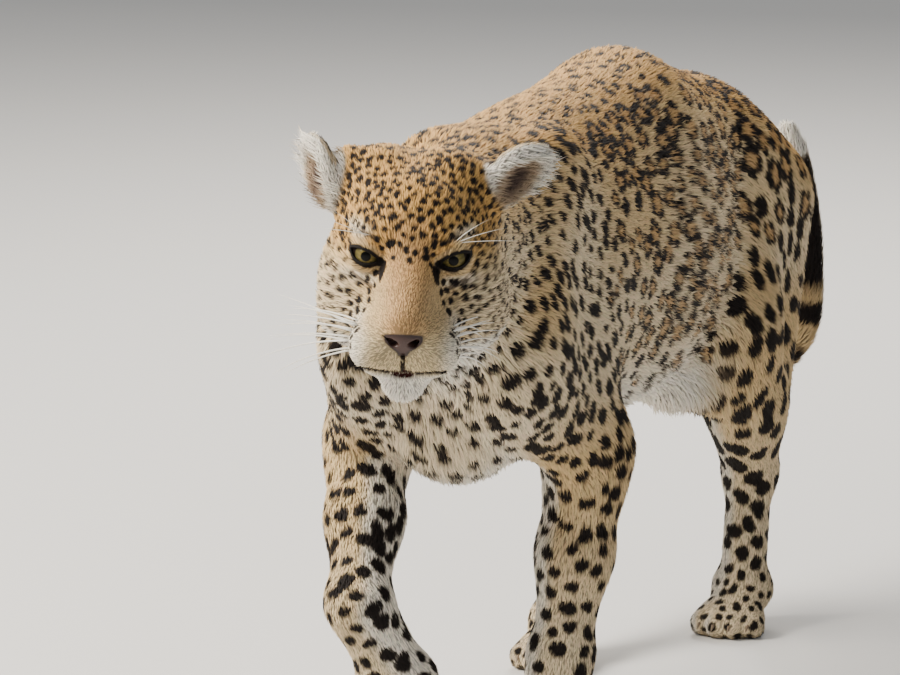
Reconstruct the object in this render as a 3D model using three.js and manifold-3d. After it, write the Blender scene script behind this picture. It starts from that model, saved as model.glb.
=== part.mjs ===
// A leopard walking, life size, right forefoot lifted. Millimetres, +Z up, the animal faces -Y.
import * as THREE from "three";
import { mergeVertices } from "three/addons/utils/BufferGeometryUtils.js";
import Module from "manifold-3d";

const wasm = await Module();
wasm.setup();

// Driving dimensions
const CELL = 8; // grid the coat surface is traced on
const BODY_FACES = 4500; // faces kept on the whole body
const GAP = 0.3; // air between neighbouring pieces
const BACK = 582; // height of the centre of the back muscles
const BACK_R = 84; // their radius
const EYE_R = 15.5;
const EYE_X = 38;
const EYE_Y = -67;
const EYE_Z = 30.5;
const TAIL_ROOT_R = 30;
const TAIL_TIP_R = 17;

// Joints of the legs, left is +X
const LEFT_FORE = {
  blade: [56, -235, 596],
  shoulder: [80, -370, 455],
  elbow: [90, -205, 322],
  wrist: [80, -254, 128],
  knuckle: [78, -284, 48],
  toe: [77, -316, 22],
  ahead: [0, -1, 0],
};
const RIGHT_FORE = {
  blade: [-52, -275, 588],
  shoulder: [-60, -408, 470],
  elbow: [-104, -298, 342],
  wrist: [-62, -430, 210],
  knuckle: [-32, -404, 130],
  toe: [-12, -390, 94],
  ahead: [0.32, 0.2, -0.92],
};
const LEFT_HIND = {
  hip: [58, 360, 482],
  seat: [67, 428, 450],
  stifle: [86, 262, 350],
  hock: [66, 366, 172],
  heel: [66, 395, 182],
  knuckle: [64, 350, 42],
  toe: [63, 320, 19],
  ahead: [0, -1, 0],
};
const RIGHT_HIND = {
  hip: [-58, 360, 482],
  seat: [-60, 416, 450],
  stifle: [-90, 196, 386],
  hock: [-80, 240, 168],
  heel: [-80, 268, 178],
  knuckle: [-72, 150, 42],
  toe: [-70, 118, 19],
  ahead: [0, -1, 0],
};

// The head has a frame of its own: it faces -Y, and is turned, lowered and tilted a little
const HEAD_AT = new THREE.Vector3(47, -560, 581);
const HEAD_YAW = 18.8;
const HEAD_PITCH = 7.3;
const HEAD_ROLL = 2.5;
const headFrame = new THREE.Matrix4()
  .makeTranslation(HEAD_AT.x, HEAD_AT.y, HEAD_AT.z)
  .multiply(new THREE.Matrix4().makeRotationZ(THREE.MathUtils.degToRad(HEAD_YAW)))
  .multiply(new THREE.Matrix4().makeRotationX(THREE.MathUtils.degToRad(HEAD_PITCH)))
  .multiply(new THREE.Matrix4().makeRotationY(THREE.MathUtils.degToRad(HEAD_ROLL)));

// A mass of flesh is a rounded cone or an oval. Each is blended into those before it
function makeCone(a, ra, b, rb, wide) {
  const ax = b.map((value, i) => value - a[i]);
  const span = ax[0] * ax[0] / (wide * wide) + ax[1] * ax[1] + ax[2] * ax[2];
  const shrink = Math.min(1, wide);
  return (x, y, z) => {
    const px = (x - a[0]) / wide;
    const py = y - a[1];
    const pz = z - a[2];
    const along = (px * ax[0] / wide + py * ax[1] + pz * ax[2]) / span;
    const t = Math.min(1, Math.max(0, along));
    const dx = px - t * ax[0] / wide;
    const dy = py - t * ax[1];
    const dz = pz - t * ax[2];
    return (Math.sqrt(dx * dx + dy * dy + dz * dz) - ra - (rb - ra) * t) * shrink;
  };
}

function makeOval(c, r, turn = [0, 0, 0]) {
  const angles = turn.map(THREE.MathUtils.degToRad);
  const spin = new THREE.Matrix4().makeRotationFromEuler(new THREE.Euler(...angles, "YZX")).invert();
  const e = spin.elements;
  return (x, y, z) => {
    const dx = x - c[0];
    const dy = y - c[1];
    const dz = z - c[2];
    const qx = (e[0] * dx + e[4] * dy + e[8] * dz) / r[0];
    const qy = (e[1] * dx + e[5] * dy + e[9] * dz) / r[1];
    const qz = (e[2] * dx + e[6] * dy + e[10] * dz) / r[2];
    const near = Math.sqrt(qx * qx + qy * qy + qz * qz);
    const slope = Math.sqrt((qx / r[0]) ** 2 + (qy / r[1]) ** 2 + (qz / r[2]) ** 2);
    return slope < 1e-9 ? -Math.min(...r) : near * (near - 1) / slope;
  };
}

// One field: masses are added with a soft join, hollows are taken out with a soft edge
function makeField() {
  const steps = [];
  return {
    cone: (a, ra, b, rb, wide = 1, blend = 30) => steps.push([makeCone(a, ra, b, rb, wide), blend, 1]),
    oval: (c, r, blend = 30, turn = [0, 0, 0]) => steps.push([makeOval(c, r, turn), blend, 1]),
    hollow: (c, r, blend = 10, turn = [0, 0, 0]) => steps.push([makeOval(c, r, turn), blend, -1]),
    join: (shape, blend) => steps.push([shape, blend, 1]),
    at: (x, y, z) => {
      let d = 1e3;
      for (const [shape, blend, sign] of steps) {
        const e = shape(x, y, z);
        const other = sign > 0 ? e : -e;
        const h = Math.max(blend - Math.abs(d - other), 0) / blend;
        d = sign > 0 ? Math.min(d, other) - h * h * blend / 4 : Math.max(d, other) + h * h * blend / 4;
      }
      return d;
    },
  };
}

const head = makeField();
head.oval([0, 14, 36], [67, 82, 62], 20);
head.oval([0, -34, 40], [57, 50, 44], 30);
head.oval([0, 42, 0], [74, 62, 70], 30);
head.cone([0, -58, 16], 34, [0, -134, -13], 23, 1, 24);
head.cone([0, -88, -38], 36, [0, -126, -40], 26, 1.35, 20);
head.cone([0, -40, -58], 40, [0, -122, -74], 19, 1.15, 20);
for (const side of [1, -1]) {
  head.oval([34 * side, 22, 66], [36, 42, 38], 20);
  head.oval([45 * side, -18, -12], [43, 60, 52], 26);
  head.oval([33 * side, -62, 45], [24, 20, 13], 16, [0, 20 * side, 0]);
  head.oval([27 * side, -124, -38], [25, 33, 25], 16);
  head.oval([50 * side, 8, -52], [38, 48, 34], 26);
  head.hollow([40 * side, -90, 25], [17, 14, 9], 8, [0, 14 * side, 0]);
}
// Each ear is a cup on a low mound: the left one opens forward, the right one outward
head.oval([66, 26, 66], [22, 24, 24], 16);
head.oval([-64, 26, 66], [20, 26, 34], 16);
for (const [x, z, lean, turn] of [[93, 84, 46, 35], [-89, 76, -14, -62]]) {
  head.oval([x, 22, z], [30, 14, 36], 14, [0, lean, turn]);
  const out = new THREE.Vector3(0, -17, 4).applyEuler(
    new THREE.Euler(0, THREE.MathUtils.degToRad(lean), THREE.MathUtils.degToRad(turn), "YZX"));
  head.hollow([x + out.x, 22 + out.y, z + out.z], [22, 15, 26], 4, [0, lean, turn]);
}
head.hollow([0, -150, -54], [26, 24, 3], 5);

// The tail hangs behind the left thigh and curls up again
const tailPath = new THREE.CatmullRomCurve3([
  [0, 410, 508], [-4, 470, 498], [-14, 526, 440], [-20, 562, 370], [-16, 588, 290],
  [8, 610, 242], [34, 622, 270], [40, 626, 345], [36, 616, 425], [28, 598, 490],
].map((p) => new THREE.Vector3(...p)));
const TAIL_STEPS = 30;
const tailSpots = tailPath.getSpacedPoints(TAIL_STEPS).map((p) => p.toArray());
const tailRadius = (i) => THREE.MathUtils.lerp(TAIL_ROOT_R, TAIL_TIP_R, (i / TAIL_STEPS) ** 0.7);

const body = makeField();
// Back, ribs, belly and rump
body.cone([0, -290, BACK - 16], BACK_R, [0, 110, BACK + 2], BACK_R - 2, 0.95);
body.cone([0, 110, BACK + 2], BACK_R - 2, [0, 320, 532], 74, 1, 20);
body.cone([0, 320, 532], 74, [0, 415, 478], 56, 1.05, 20);
body.oval([0, -150, 478], [114, 250, 162], 40);
body.oval([0, 70, 468], [116, 220, 172], 40);
body.oval([0, 200, 440], [90, 150, 156], 40);
body.oval([0, -325, 452], [96, 110, 142], 40);
// Neck and throat
body.cone([0, -310, 555], 94, [34, -480, 578], 84, 0.92, 40);
body.cone([14, -380, 480], 80, [42, -500, 535], 62, 0.95, 40);
for (const [leg, side] of [[LEFT_FORE, 1], [RIGHT_FORE, -1]]) {
  const { blade, shoulder, elbow, wrist, knuckle, toe } = leg;
  body.cone(blade, 44, shoulder, 60, 0.6, 40);
  body.cone(shoulder, 60, elbow, 50, 0.62, 40);
  const triceps = [0.5 * (blade[0] + elbow[0]), elbow[1] - 20, 0.45 * blade[2] + 0.55 * elbow[2]];
  body.cone(triceps, 62, elbow, 46, 0.55, 40);
  body.cone(elbow, 50, [0, 1, 2].map((i) => elbow[i] * 0.5 + wrist[i] * 0.5), 41, 0.88, 20);
  body.cone([0, 1, 2].map((i) => elbow[i] * 0.5 + wrist[i] * 0.5), 41, wrist, 30, 0.92, 20);
  body.cone(wrist, 31, knuckle, 31, 1.1, 20);
  body.cone(knuckle, 33, toe, 25, 1.25, 16);
  makeToes(leg, side, 20, 20);
}
for (const [leg, side] of [[LEFT_HIND, 1], [RIGHT_HIND, -1]]) {
  const { hip, seat, stifle, hock, heel, knuckle, toe } = leg;
  const calf = [0, 1, 2].map((i) => stifle[i] * 0.4 + hock[i] * 0.6);
  body.cone(hip, 80, stifle, 60, 0.6, 40);
  body.cone(seat, 60, [calf[0], calf[1] + 38, calf[2] + 10], 49, 0.72, 40);
  const groin = [48 * side, stifle[1] - 110, 306];
  body.cone(groin, 24, [stifle[0] * 0.9, stifle[1] + 6, stifle[2] - 66], 34, 0.9, 40);
  const half = [0, 1, 2].map((i) => stifle[i] * 0.5 + hock[i] * 0.5);
  body.cone(stifle, 58, half, 49, 0.76, 30);
  body.cone(half, 49, hock, 35, 0.88, 20);
  body.cone(hock, 26, heel, 17, 0.9, 16);
  body.cone(hock, 26, knuckle, 26, 1, 16);
  body.cone(knuckle, 27, toe, 22, 1.3, 16);
  makeToes(leg, side, 18, 17.5);
}
for (let i = 0; i < TAIL_STEPS; i += 1) {
  body.cone(tailSpots[i], tailRadius(i), tailSpots[i + 1], tailRadius(i + 1), 1, 14);
}
body.join(inHead(head.at), 34);

// Four toes side by side in front of each paw
function makeToes({ toe, ahead }, side, radius, spread) {
  for (const k of [-1.5, -0.5, 0.5, 1.5]) {
    const reach = 23 - 8 * Math.abs(Math.abs(k) - 0.5) - 2 * side * k;
    const root = [toe[0] + k * spread * 0.8, toe[1], toe[2]];
    const tip = toe.map((value, i) => value + ahead[i] * reach + (i === 0 ? k * spread : 0));
    tip[2] -= ahead[2] === 0 ? 6 : 0;
    body.cone(root, radius, tip, radius - 1, 0.9, 7);
  }
}

// The same field seen from the world instead of from the head
function inHead(at) {
  const e = headFrame.clone().invert().elements;
  return (x, y, z) => at(
    e[0] * x + e[4] * y + e[8] * z + e[12],
    e[1] * x + e[5] * y + e[9] * z + e[13],
    e[2] * x + e[6] * y + e[10] * z + e[14],
  );
}

// Trace the surface where the field is zero: each grid cell is six tetrahedra
function trace(at, low, high, cell) {
  const n = high.map((value, i) => Math.ceil((value - low[i]) / cell) + 1);
  const index = (i, j, k) => (k * n[1] + j) * n[0] + i;
  const values = new Float32Array(n[0] * n[1] * n[2]);
  const coarse = 4;
  const blockReach = coarse * cell;
  for (let k = 0; k < n[2]; k += coarse) {
    for (let j = 0; j < n[1]; j += coarse) {
      for (let i = 0; i < n[0]; i += coarse) {
        const mid = [i, j, k].map((value, axis) => low[axis] + (value + coarse / 2) * cell);
        const middle = at(...mid);
        const far = Math.abs(middle) > 2.2 * blockReach;
        for (let c = k; c < Math.min(k + coarse, n[2]); c += 1) {
          for (let b = j; b < Math.min(j + coarse, n[1]); b += 1) {
            for (let a = i; a < Math.min(i + coarse, n[0]); a += 1) {
              values[index(a, b, c)] = far
                ? middle : at(low[0] + a * cell, low[1] + b * cell, low[2] + c * cell);
            }
          }
        }
      }
    }
  }
  const orders = [[0, 1, 2], [1, 2, 0], [2, 0, 1], [1, 0, 2], [0, 2, 1], [2, 1, 0]];
  const stride = [1, n[0], n[0] * n[1]];
  const offset = (bits) => (bits & 1) * stride[0] + ((bits >> 1) & 1) * stride[1] + (bits >> 2) * stride[2];
  const tets = orders.map(([p, q], i) => {
    const one = 1 << p;
    const two = one | (1 << q);
    return i < 3 ? [0, one, two, 7] : [0, two, one, 7];
  });
  const single = [[0, 1, 2, 3], [1, 0, 3, 2], [2, 3, 0, 1], [3, 2, 1, 0]];
  const pairs = [[0, 1, 2, 3], [0, 2, 3, 1], [0, 3, 1, 2], [1, 2, 0, 3], [1, 3, 2, 0], [2, 3, 0, 1]];
  const points = [];
  const faces = [];
  const known = new Map();
  const place = (base, one, two) => {
    const lower = Math.min(one, two);
    const upper = Math.max(one, two);
    const from = base + offset(lower);
    const key = from * 8 + (upper ^ lower);
    let id = known.get(key);
    if (id === undefined) {
      const to = base + offset(upper);
      const share = values[from] / (values[from] - values[to]);
      const t = Math.min(0.88, Math.max(0.12, share));
      const start = [from % n[0], Math.floor(from / n[0]) % n[1], Math.floor(from / stride[2])];
      const step = [(upper ^ lower) & 1, ((upper ^ lower) >> 1) & 1, (upper ^ lower) >> 2];
      id = points.length / 3;
      points.push(...start.map((value, axis) => low[axis] + (value + t * step[axis]) * cell));
      known.set(key, id);
    }
    return id;
  };
  for (let k = 0; k < n[2] - 1; k += 1) {
    for (let j = 0; j < n[1] - 1; j += 1) {
      for (let i = 0; i < n[0] - 1; i += 1) {
        const base = index(i, j, k);
        let inside = 0;
        for (let bits = 0; bits < 8; bits += 1) inside += values[base + offset(bits)] < 0 ? 1 : 0;
        if (inside === 0 || inside === 8) continue;
        for (const tet of tets) {
          const isIn = tet.map((bits) => values[base + offset(bits)] < 0);
          const total = isIn.filter(Boolean).length;
          const edge = (p, q) => place(base, tet[p], tet[q]);
          if (total === 1 || total === 3) {
            const [a, b, c, d] = single[isIn.indexOf(total === 1)];
            const corner = [edge(a, b), edge(a, c), edge(a, d)];
            faces.push(...(total === 1 ? corner : corner.reverse()));
          } else if (total === 2) {
            const [a, b, c, d] = pairs.find(([p, q]) => isIn[p] && isIn[q]);
            const ring = [edge(a, c), edge(a, d), edge(b, d), edge(b, c)];
            faces.push(ring[0], ring[1], ring[2], ring[0], ring[2], ring[3]);
          }
        }
      }
    }
  }
  return { points, faces };
}

// Merge edges, cheapest first, until the wanted number of faces is left
function simplify({ points, faces }, wanted, care) {
  const at = Float64Array.from(points);
  const corner = Int32Array.from(faces);
  const total = at.length / 3;
  const around = Array.from({ length: total }, () => []);
  for (let f = 0; f < corner.length / 3; f += 1) {
    for (let c = 0; c < 3; c += 1) around[corner[3 * f + c]].push(f);
  }
  const normalOf = (f, swap = -1, spot = null) => {
    const p = [0, 1, 2].map((c) => {
      const v = corner[3 * f + c];
      return v === swap ? spot : [at[3 * v], at[3 * v + 1], at[3 * v + 2]];
    });
    const u = [p[1][0] - p[0][0], p[1][1] - p[0][1], p[1][2] - p[0][2]];
    const w = [p[2][0] - p[0][0], p[2][1] - p[0][1], p[2][2] - p[0][2]];
    const cross = [u[1] * w[2] - u[2] * w[1], u[2] * w[0] - u[0] * w[2], u[0] * w[1] - u[1] * w[0]];
    return { cross, from: p[0] };
  };
  const quadric = new Float64Array(10 * total);
  for (let f = 0; f < corner.length / 3; f += 1) {
    const { cross, from } = normalOf(f);
    const size = Math.hypot(...cross) || 1e-9;
    const [a, b, c] = cross.map((value) => value / size);
    const d = -(a * from[0] + b * from[1] + c * from[2]);
    const terms = [a * a, a * b, a * c, a * d, b * b, b * c, b * d, c * c, c * d, d * d];
    const weight = size * care(...from);
    for (let k = 0; k < 3; k += 1) {
      terms.forEach((value, i) => { quadric[10 * corner[3 * f + k] + i] += value * weight; });
    }
  }
  const errorAt = (q, [x, y, z]) => q[0] * x * x + 2 * q[1] * x * y + 2 * q[2] * x * z + 2 * q[3] * x
    + q[4] * y * y + 2 * q[5] * y * z + 2 * q[6] * y + q[7] * z * z + 2 * q[8] * z + q[9];
  const stamp = new Int32Array(total);
  const heap = [];
  const less = (i, j) => heap[i].cost < heap[j].cost;
  const swap = (i, j) => { [heap[i], heap[j]] = [heap[j], heap[i]]; };
  const push = (item) => {
    let i = heap.push(item) - 1;
    while (i > 0 && less(i, (i - 1) >> 1)) {
      swap(i, (i - 1) >> 1);
      i = (i - 1) >> 1;
    }
  };
  const pop = () => {
    const top = heap[0];
    const last = heap.pop();
    if (heap.length === 0) return top;
    heap[0] = last;
    let i = 0;
    for (;;) {
      let small = i;
      if (2 * i + 1 < heap.length && less(2 * i + 1, small)) small = 2 * i + 1;
      if (2 * i + 2 < heap.length && less(2 * i + 2, small)) small = 2 * i + 2;
      if (small === i) return top;
      swap(i, small);
      i = small;
    }
  };
  const offer = (a, b) => {
    const q = Array.from({ length: 10 }, (_, i) => quadric[10 * a + i] + quadric[10 * b + i]);
    const ends = [[at[3 * a], at[3 * a + 1], at[3 * a + 2]], [at[3 * b], at[3 * b + 1], at[3 * b + 2]]];
    const choices = [ends[0], ends[1], ends[0].map((value, i) => (value + ends[1][i]) / 2)];
    const det = q[0] * (q[4] * q[7] - q[5] * q[5]) - q[1] * (q[1] * q[7] - q[5] * q[2])
      + q[2] * (q[1] * q[5] - q[4] * q[2]);
    const scale = (q[0] + q[4] + q[7]) ** 3;
    if (Math.abs(det) > 1e-4 * scale) {
      const r = [-q[3], -q[6], -q[8]];
      choices.push([
        (r[0] * (q[4] * q[7] - q[5] * q[5]) - q[1] * (r[1] * q[7] - q[5] * r[2])
          + q[2] * (r[1] * q[5] - q[4] * r[2])) / det,
        (q[0] * (r[1] * q[7] - q[5] * r[2]) - r[0] * (q[1] * q[7] - q[5] * q[2])
          + q[2] * (q[1] * r[2] - r[1] * q[2])) / det,
        (q[0] * (q[4] * r[2] - r[1] * q[5]) - q[1] * (q[1] * r[2] - r[1] * q[2])
          + r[0] * (q[1] * q[5] - q[4] * q[2])) / det,
      ]);
    }
    const cost = choices.map((spot) => errorAt(q, spot));
    const best = cost.indexOf(Math.min(...cost));
    const length = Math.hypot(...ends[0].map((value, i) => value - ends[1][i]));
    push({ cost: cost[best] + 0.02 * length * length, a, b, spot: choices[best], sum: stamp[a] + stamp[b] });
  };
  const cornersOf = (f) => [corner[3 * f], corner[3 * f + 1], corner[3 * f + 2]];
  const neighbours = (v) => new Set(around[v].flatMap(cornersOf).filter((other) => other !== v));
  for (let v = 0; v < total; v += 1) {
    for (const other of neighbours(v)) if (other > v) offer(v, other);
  }
  let left = corner.length / 3;
  while (left > wanted && heap.length > 0) {
    const { a, b, spot, sum } = pop();
    if (sum !== stamp[a] + stamp[b] || stamp[a] < 0 || stamp[b] < 0) continue;
    const near = neighbours(a);
    const shared = [...neighbours(b)].filter((other) => near.has(other));
    if (shared.length !== 2) continue;
    const both = (f) => cornersOf(f).filter((v) => v === a || v === b).length === 2;
    const flips = [a, b].some((v) => around[v].some((f) => {
      if (both(f)) return false;
      const before = normalOf(f).cross;
      const after = normalOf(f, v, spot).cross;
      const dot = before[0] * after[0] + before[1] * after[1] + before[2] * after[2];
      return dot <= 0.3 * Math.hypot(...before) * Math.hypot(...after);
    }));
    if (flips) continue;
    for (const f of around[b]) {
      if (both(f)) {
        for (let c = 0; c < 3; c += 1) {
          const v = corner[3 * f + c];
          if (v !== b) around[v] = around[v].filter((other) => other !== f);
        }
        corner[3 * f] = -1;
        left -= 1;
      } else {
        for (let c = 0; c < 3; c += 1) if (corner[3 * f + c] === b) corner[3 * f + c] = a;
        around[a].push(f);
      }
    }
    around[b] = [];
    stamp[b] = -1e9;
    stamp[a] += 1;
    spot.forEach((value, i) => { at[3 * a + i] = value; });
    for (let i = 0; i < 10; i += 1) quadric[10 * a + i] += quadric[10 * b + i];
    for (const other of neighbours(a)) offer(a, other);
  }
  const used = new Map();
  const outPoints = [];
  const outFaces = [];
  for (let f = 0; f < corner.length / 3; f += 1) {
    if (corner[3 * f] < 0) continue;
    for (let c = 0; c < 3; c += 1) {
      const v = corner[3 * f + c];
      if (!used.has(v)) {
        used.set(v, outPoints.length / 3);
        outPoints.push(at[3 * v], at[3 * v + 1], at[3 * v + 2]);
      }
      outFaces.push(used.get(v));
    }
  }
  return { points: outPoints, faces: outFaces };
}

const solid = (points, faces) => new wasm.Manifold(new wasm.Mesh({
  numProp: 3, vertProperties: Float32Array.from(points), triVerts: Uint32Array.from(faces),
}));

// A box as a solid, placed by a matrix
function boxSolid(size, place) {
  const raw = new THREE.BoxGeometry(...size);
  raw.deleteAttribute("normal");
  raw.deleteAttribute("uv");
  const box = mergeVertices(raw.applyMatrix4(place));
  return solid(box.attributes.position.array, box.index.array);
}

const rough = trace(body.at, [-175, -762, -16], [205, 716, 716], CELL);
const fine = simplify(rough, BODY_FACES, (x, y, z) => (y < -480 || z < 110 ? 5 : 1));
const floorBox = boxSolid([1000, 3000, 400], new THREE.Matrix4().makeTranslation(0, 0, -200));
let rest = solid(fine.points, fine.faces).subtract(floorBox);

const group = new THREE.Group();
const COLOURS = {
  coat: ["#c9a468", 0.9], pale: ["#e6dfd0", 0.92], nose: ["#8a5a50", 0.55], eye: ["#8a7a34", 0.1],
};

function addMesh(name, piece, colour) {
  const mesh = piece.getMesh();
  const geometry = new THREE.BufferGeometry();
  geometry.setAttribute("position", new THREE.BufferAttribute(Float32Array.from(mesh.vertProperties), 3));
  geometry.setIndex(new THREE.BufferAttribute(Uint32Array.from(mesh.triVerts), 1));
  geometry.computeVertexNormals();
  const [tone, roughness] = COLOURS[colour];
  const material = new THREE.MeshStandardMaterial({ color: tone, roughness, metalness: 0 });
  const object = new THREE.Mesh(geometry, material);
  object.name = name;
  group.add(object);
}

// Eyeballs, each in a socket a little larger
function ball(radius, x, y, z) {
  const raw = new THREE.SphereGeometry(radius, 14, 8);
  raw.deleteAttribute("normal");
  raw.deleteAttribute("uv");
  const sphere = mergeVertices(raw.translate(x, y, z).applyMatrix4(headFrame));
  return solid(sphere.attributes.position.array, sphere.index.array);
}
for (const [name, side] of [["eye_left", 1], ["eye_right", -1]]) {
  addMesh(name, ball(EYE_R, side * EYE_X, EYE_Y, EYE_Z), "eye");
  rest = rest.subtract(ball(EYE_R + 1.6 * GAP, side * EYE_X, EYE_Y, EYE_Z));
}

// Each piece is what a box takes out of the body; the box for the next pieces is a gap larger
const world = new THREE.Matrix4();
const CUTS = [
  ["nose", "nose", headFrame, [0, -170, -24], [48, 40, 32], [0, 0, 0]],
  ["lower_jaw", "pale", headFrame, [0, -120, -104], [110, 130, 94], [8, 0, 0]],
  ["ear_left", "coat", headFrame, [124, 20, 96], [100, 110, 110], [0, -44, 0]],
  ["ear_right", "coat", headFrame, [-137, 20, 80], [120, 120, 150], [0, 8, 0]],
  ["head", "coat", headFrame, [0, -87, 20], [300, 270, 270], [12, 0, 0]],
  ["tail_tip", "coat", world, [40, 660, 530], [160, 170, 200], [0, 0, 0]],
  ["tail_end", "coat", world, [69, 660, 350], [120, 170, 159], [0, 0, 0]],
  ["tail_middle", "coat", world, [0, 620, 200], [200, 200, 140], [0, 0, 0]],
  ["tail_base", "coat", world, [0, 606, 420], [200, 220, 300], [0, 0, 0]],
  ["neck", "coat", world, [20, -520, 540], [300, 240, 420], [-12, 0, 0]],
  ["forepaw_right", "coat", world, [-30, -400, 125], [160, 150, 150], [0, 0, 0]],
  ["forepaw_left", "coat", world, [88, -290, 50], [130, 200, 140], [0, 0, 0]],
  ["forearm_right", "coat", world, [-98, -387, 257], [166, 264, 124], [45, 0, 0]],
  ["upper_arm_right", "coat", world, [-150, -320, 430], [160, 290, 330], [0, 0, 0]],
  ["forearm_left", "coat", world, [100, -230, 205], [160, 190, 170], [0, 0, 0]],
  ["upper_arm_left", "coat", world, [150, -290, 430], [160, 290, 280], [0, 0, 0]],
  ["hind_foot_left", "coat", world, [80, 350, 70], [160, 240, 150], [0, 0, 0]],
  ["shank_left", "coat", world, [96, 310, 210], [130, 298, 131], [0, 0, 0]],
  ["thigh_left", "coat", world, [120, 340, 405], [170, 380, 260], [0, 0, 0]],
  ["hind_foot_right", "coat", world, [-80, 190, 70], [160, 240, 150], [0, 0, 0]],
  ["shank_right", "coat", world, [-96, 250, 210], [130, 298, 131], [0, 0, 0]],
  ["thigh_right", "coat", world, [-120, 320, 405], [170, 420, 260], [0, 0, 0]],
  ["chest", "coat", world, [0, -260, 500], [400, 400, 600], [0, 0, 0]],
  ["belly", "coat", world, [0, 70, 500], [400, 260, 600], [0, 0, 0]],
];
for (const [name, colour, frame, centre, size, turn] of CUTS) {
  const angles = turn.map(THREE.MathUtils.degToRad);
  const place = frame.clone()
    .multiply(new THREE.Matrix4().makeTranslation(...centre))
    .multiply(new THREE.Matrix4().makeRotationFromEuler(new THREE.Euler(...angles, "ZYX")));
  addMesh(name, rest.intersect(boxSolid(size, place)), colour);
  rest = rest.subtract(boxSolid(size.map((value) => value + 2 * GAP), place));
}
addMesh("rump", rest, "coat");

// The origin is on the floor, under the middle of the animal's bounding box
const middle = new THREE.Box3().setFromObject(group).getCenter(new THREE.Vector3());
group.position.set(-middle.x, -middle.y, 0);

export default group;
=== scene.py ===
import math

import bpy
import numpy as np
from mathutils import Euler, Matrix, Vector, kdtree


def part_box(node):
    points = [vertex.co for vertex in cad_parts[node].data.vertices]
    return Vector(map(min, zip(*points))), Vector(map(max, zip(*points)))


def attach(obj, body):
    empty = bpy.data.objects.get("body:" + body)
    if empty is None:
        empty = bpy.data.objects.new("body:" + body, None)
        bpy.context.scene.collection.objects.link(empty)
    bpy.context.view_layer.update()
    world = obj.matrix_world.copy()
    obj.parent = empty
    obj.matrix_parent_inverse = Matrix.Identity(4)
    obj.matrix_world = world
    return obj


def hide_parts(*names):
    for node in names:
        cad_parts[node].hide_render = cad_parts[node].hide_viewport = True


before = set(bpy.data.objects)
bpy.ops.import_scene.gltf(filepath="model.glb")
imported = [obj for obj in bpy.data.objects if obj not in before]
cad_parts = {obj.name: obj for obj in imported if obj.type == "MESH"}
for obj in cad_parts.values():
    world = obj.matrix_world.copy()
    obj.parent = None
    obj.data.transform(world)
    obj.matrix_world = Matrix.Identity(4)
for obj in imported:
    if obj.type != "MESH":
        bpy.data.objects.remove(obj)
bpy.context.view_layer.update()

# A walking leopard, life size: one skin with mesh tufts over it, in place of the solids of its flesh.
# Shapes are in millimetres as the animal was drawn, and become metres in the frame at the end.
MM = 0.001
rng = np.random.default_rng(7)

# Driving dimensions
SKIN_CELL = 5.5  # grid the skin is traced on
EYE_R = 15.5
EYE = (38, -67, 30.5)  # of the left eye, in the head's own frame
TAIL_ROOT_R = 30
TAIL_TIP_R = 17
FLOOR_GAP = 0.2
BLEND = 30.0  # how softly two masses join, where nothing else is said
HEAD_REACH = 270  # from the middle of the head past its last hair
EYE_REACH = 23  # of the lids, from the middle of the eye
EAR_SPAN = (33, 24, 42)  # half sizes of the oval that holds an ear
MOST_TUFTS = 232000
TUFTS_A_PIECE = 33000
PATCH = 0.003  # size of a tuft on its map
# The skin is darker than the coat over it by painted shade, since it lies under the coat
SKIN_SHADE = 0.72  # how light the skin is beside the coat over it
FAR = 1e3
TINY = 1e-9

# Joints of the legs, left is +X
LEFT_FORE = dict(blade=(56, -235, 596), shoulder=(80, -370, 455), elbow=(90, -205, 322),
                 wrist=(80, -254, 128), knuckle=(78, -284, 48), toe=(77, -316, 22), ahead=(0, -1, 0))
RIGHT_FORE = dict(blade=(-52, -275, 588), shoulder=(-60, -408, 470), elbow=(-104, -298, 342),
                  wrist=(-62, -430, 210), knuckle=(-32, -404, 130), toe=(-12, -390, 94),
                  ahead=(0.32, 0.2, -0.92))
LEFT_HIND = dict(hip=(58, 360, 482), seat=(67, 428, 450), stifle=(86, 262, 350), hock=(66, 366, 172),
                 heel=(66, 395, 182), knuckle=(64, 350, 42), toe=(63, 320, 19), ahead=(0, -1, 0))
RIGHT_HIND = dict(hip=(-58, 360, 482), seat=(-60, 416, 450), stifle=(-90, 196, 386),
                  hock=(-80, 240, 168), heel=(-80, 268, 178), knuckle=(-72, 150, 42),
                  toe=(-70, 118, 19), ahead=(0, -1, 0))
LEGS = {"fore_left": (LEFT_FORE, 1), "fore_right": (RIGHT_FORE, -1),
        "hind_left": (LEFT_HIND, 1), "hind_right": (RIGHT_HIND, -1)}
HEAD_AT = np.array([47.0, -560, 581])
HEAD_TURN = (18.8, 7.3, 2.5)  # yaw, pitch and roll in degrees
# Place of each ear, by side, and its lean and turn in degrees
EARS = {1: ((93, 22, 84), (46, 35)), -1: ((-89, 22, 76), (-14, -62))}
TAIL = [(0, 410, 508), (-4, 470, 498), (-14, 526, 440), (-20, 562, 370), (-16, 588, 290),
        (8, 610, 242), (34, 622, 270), (40, 626, 345), (36, 616, 425), (28, 598, 490)]

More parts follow.
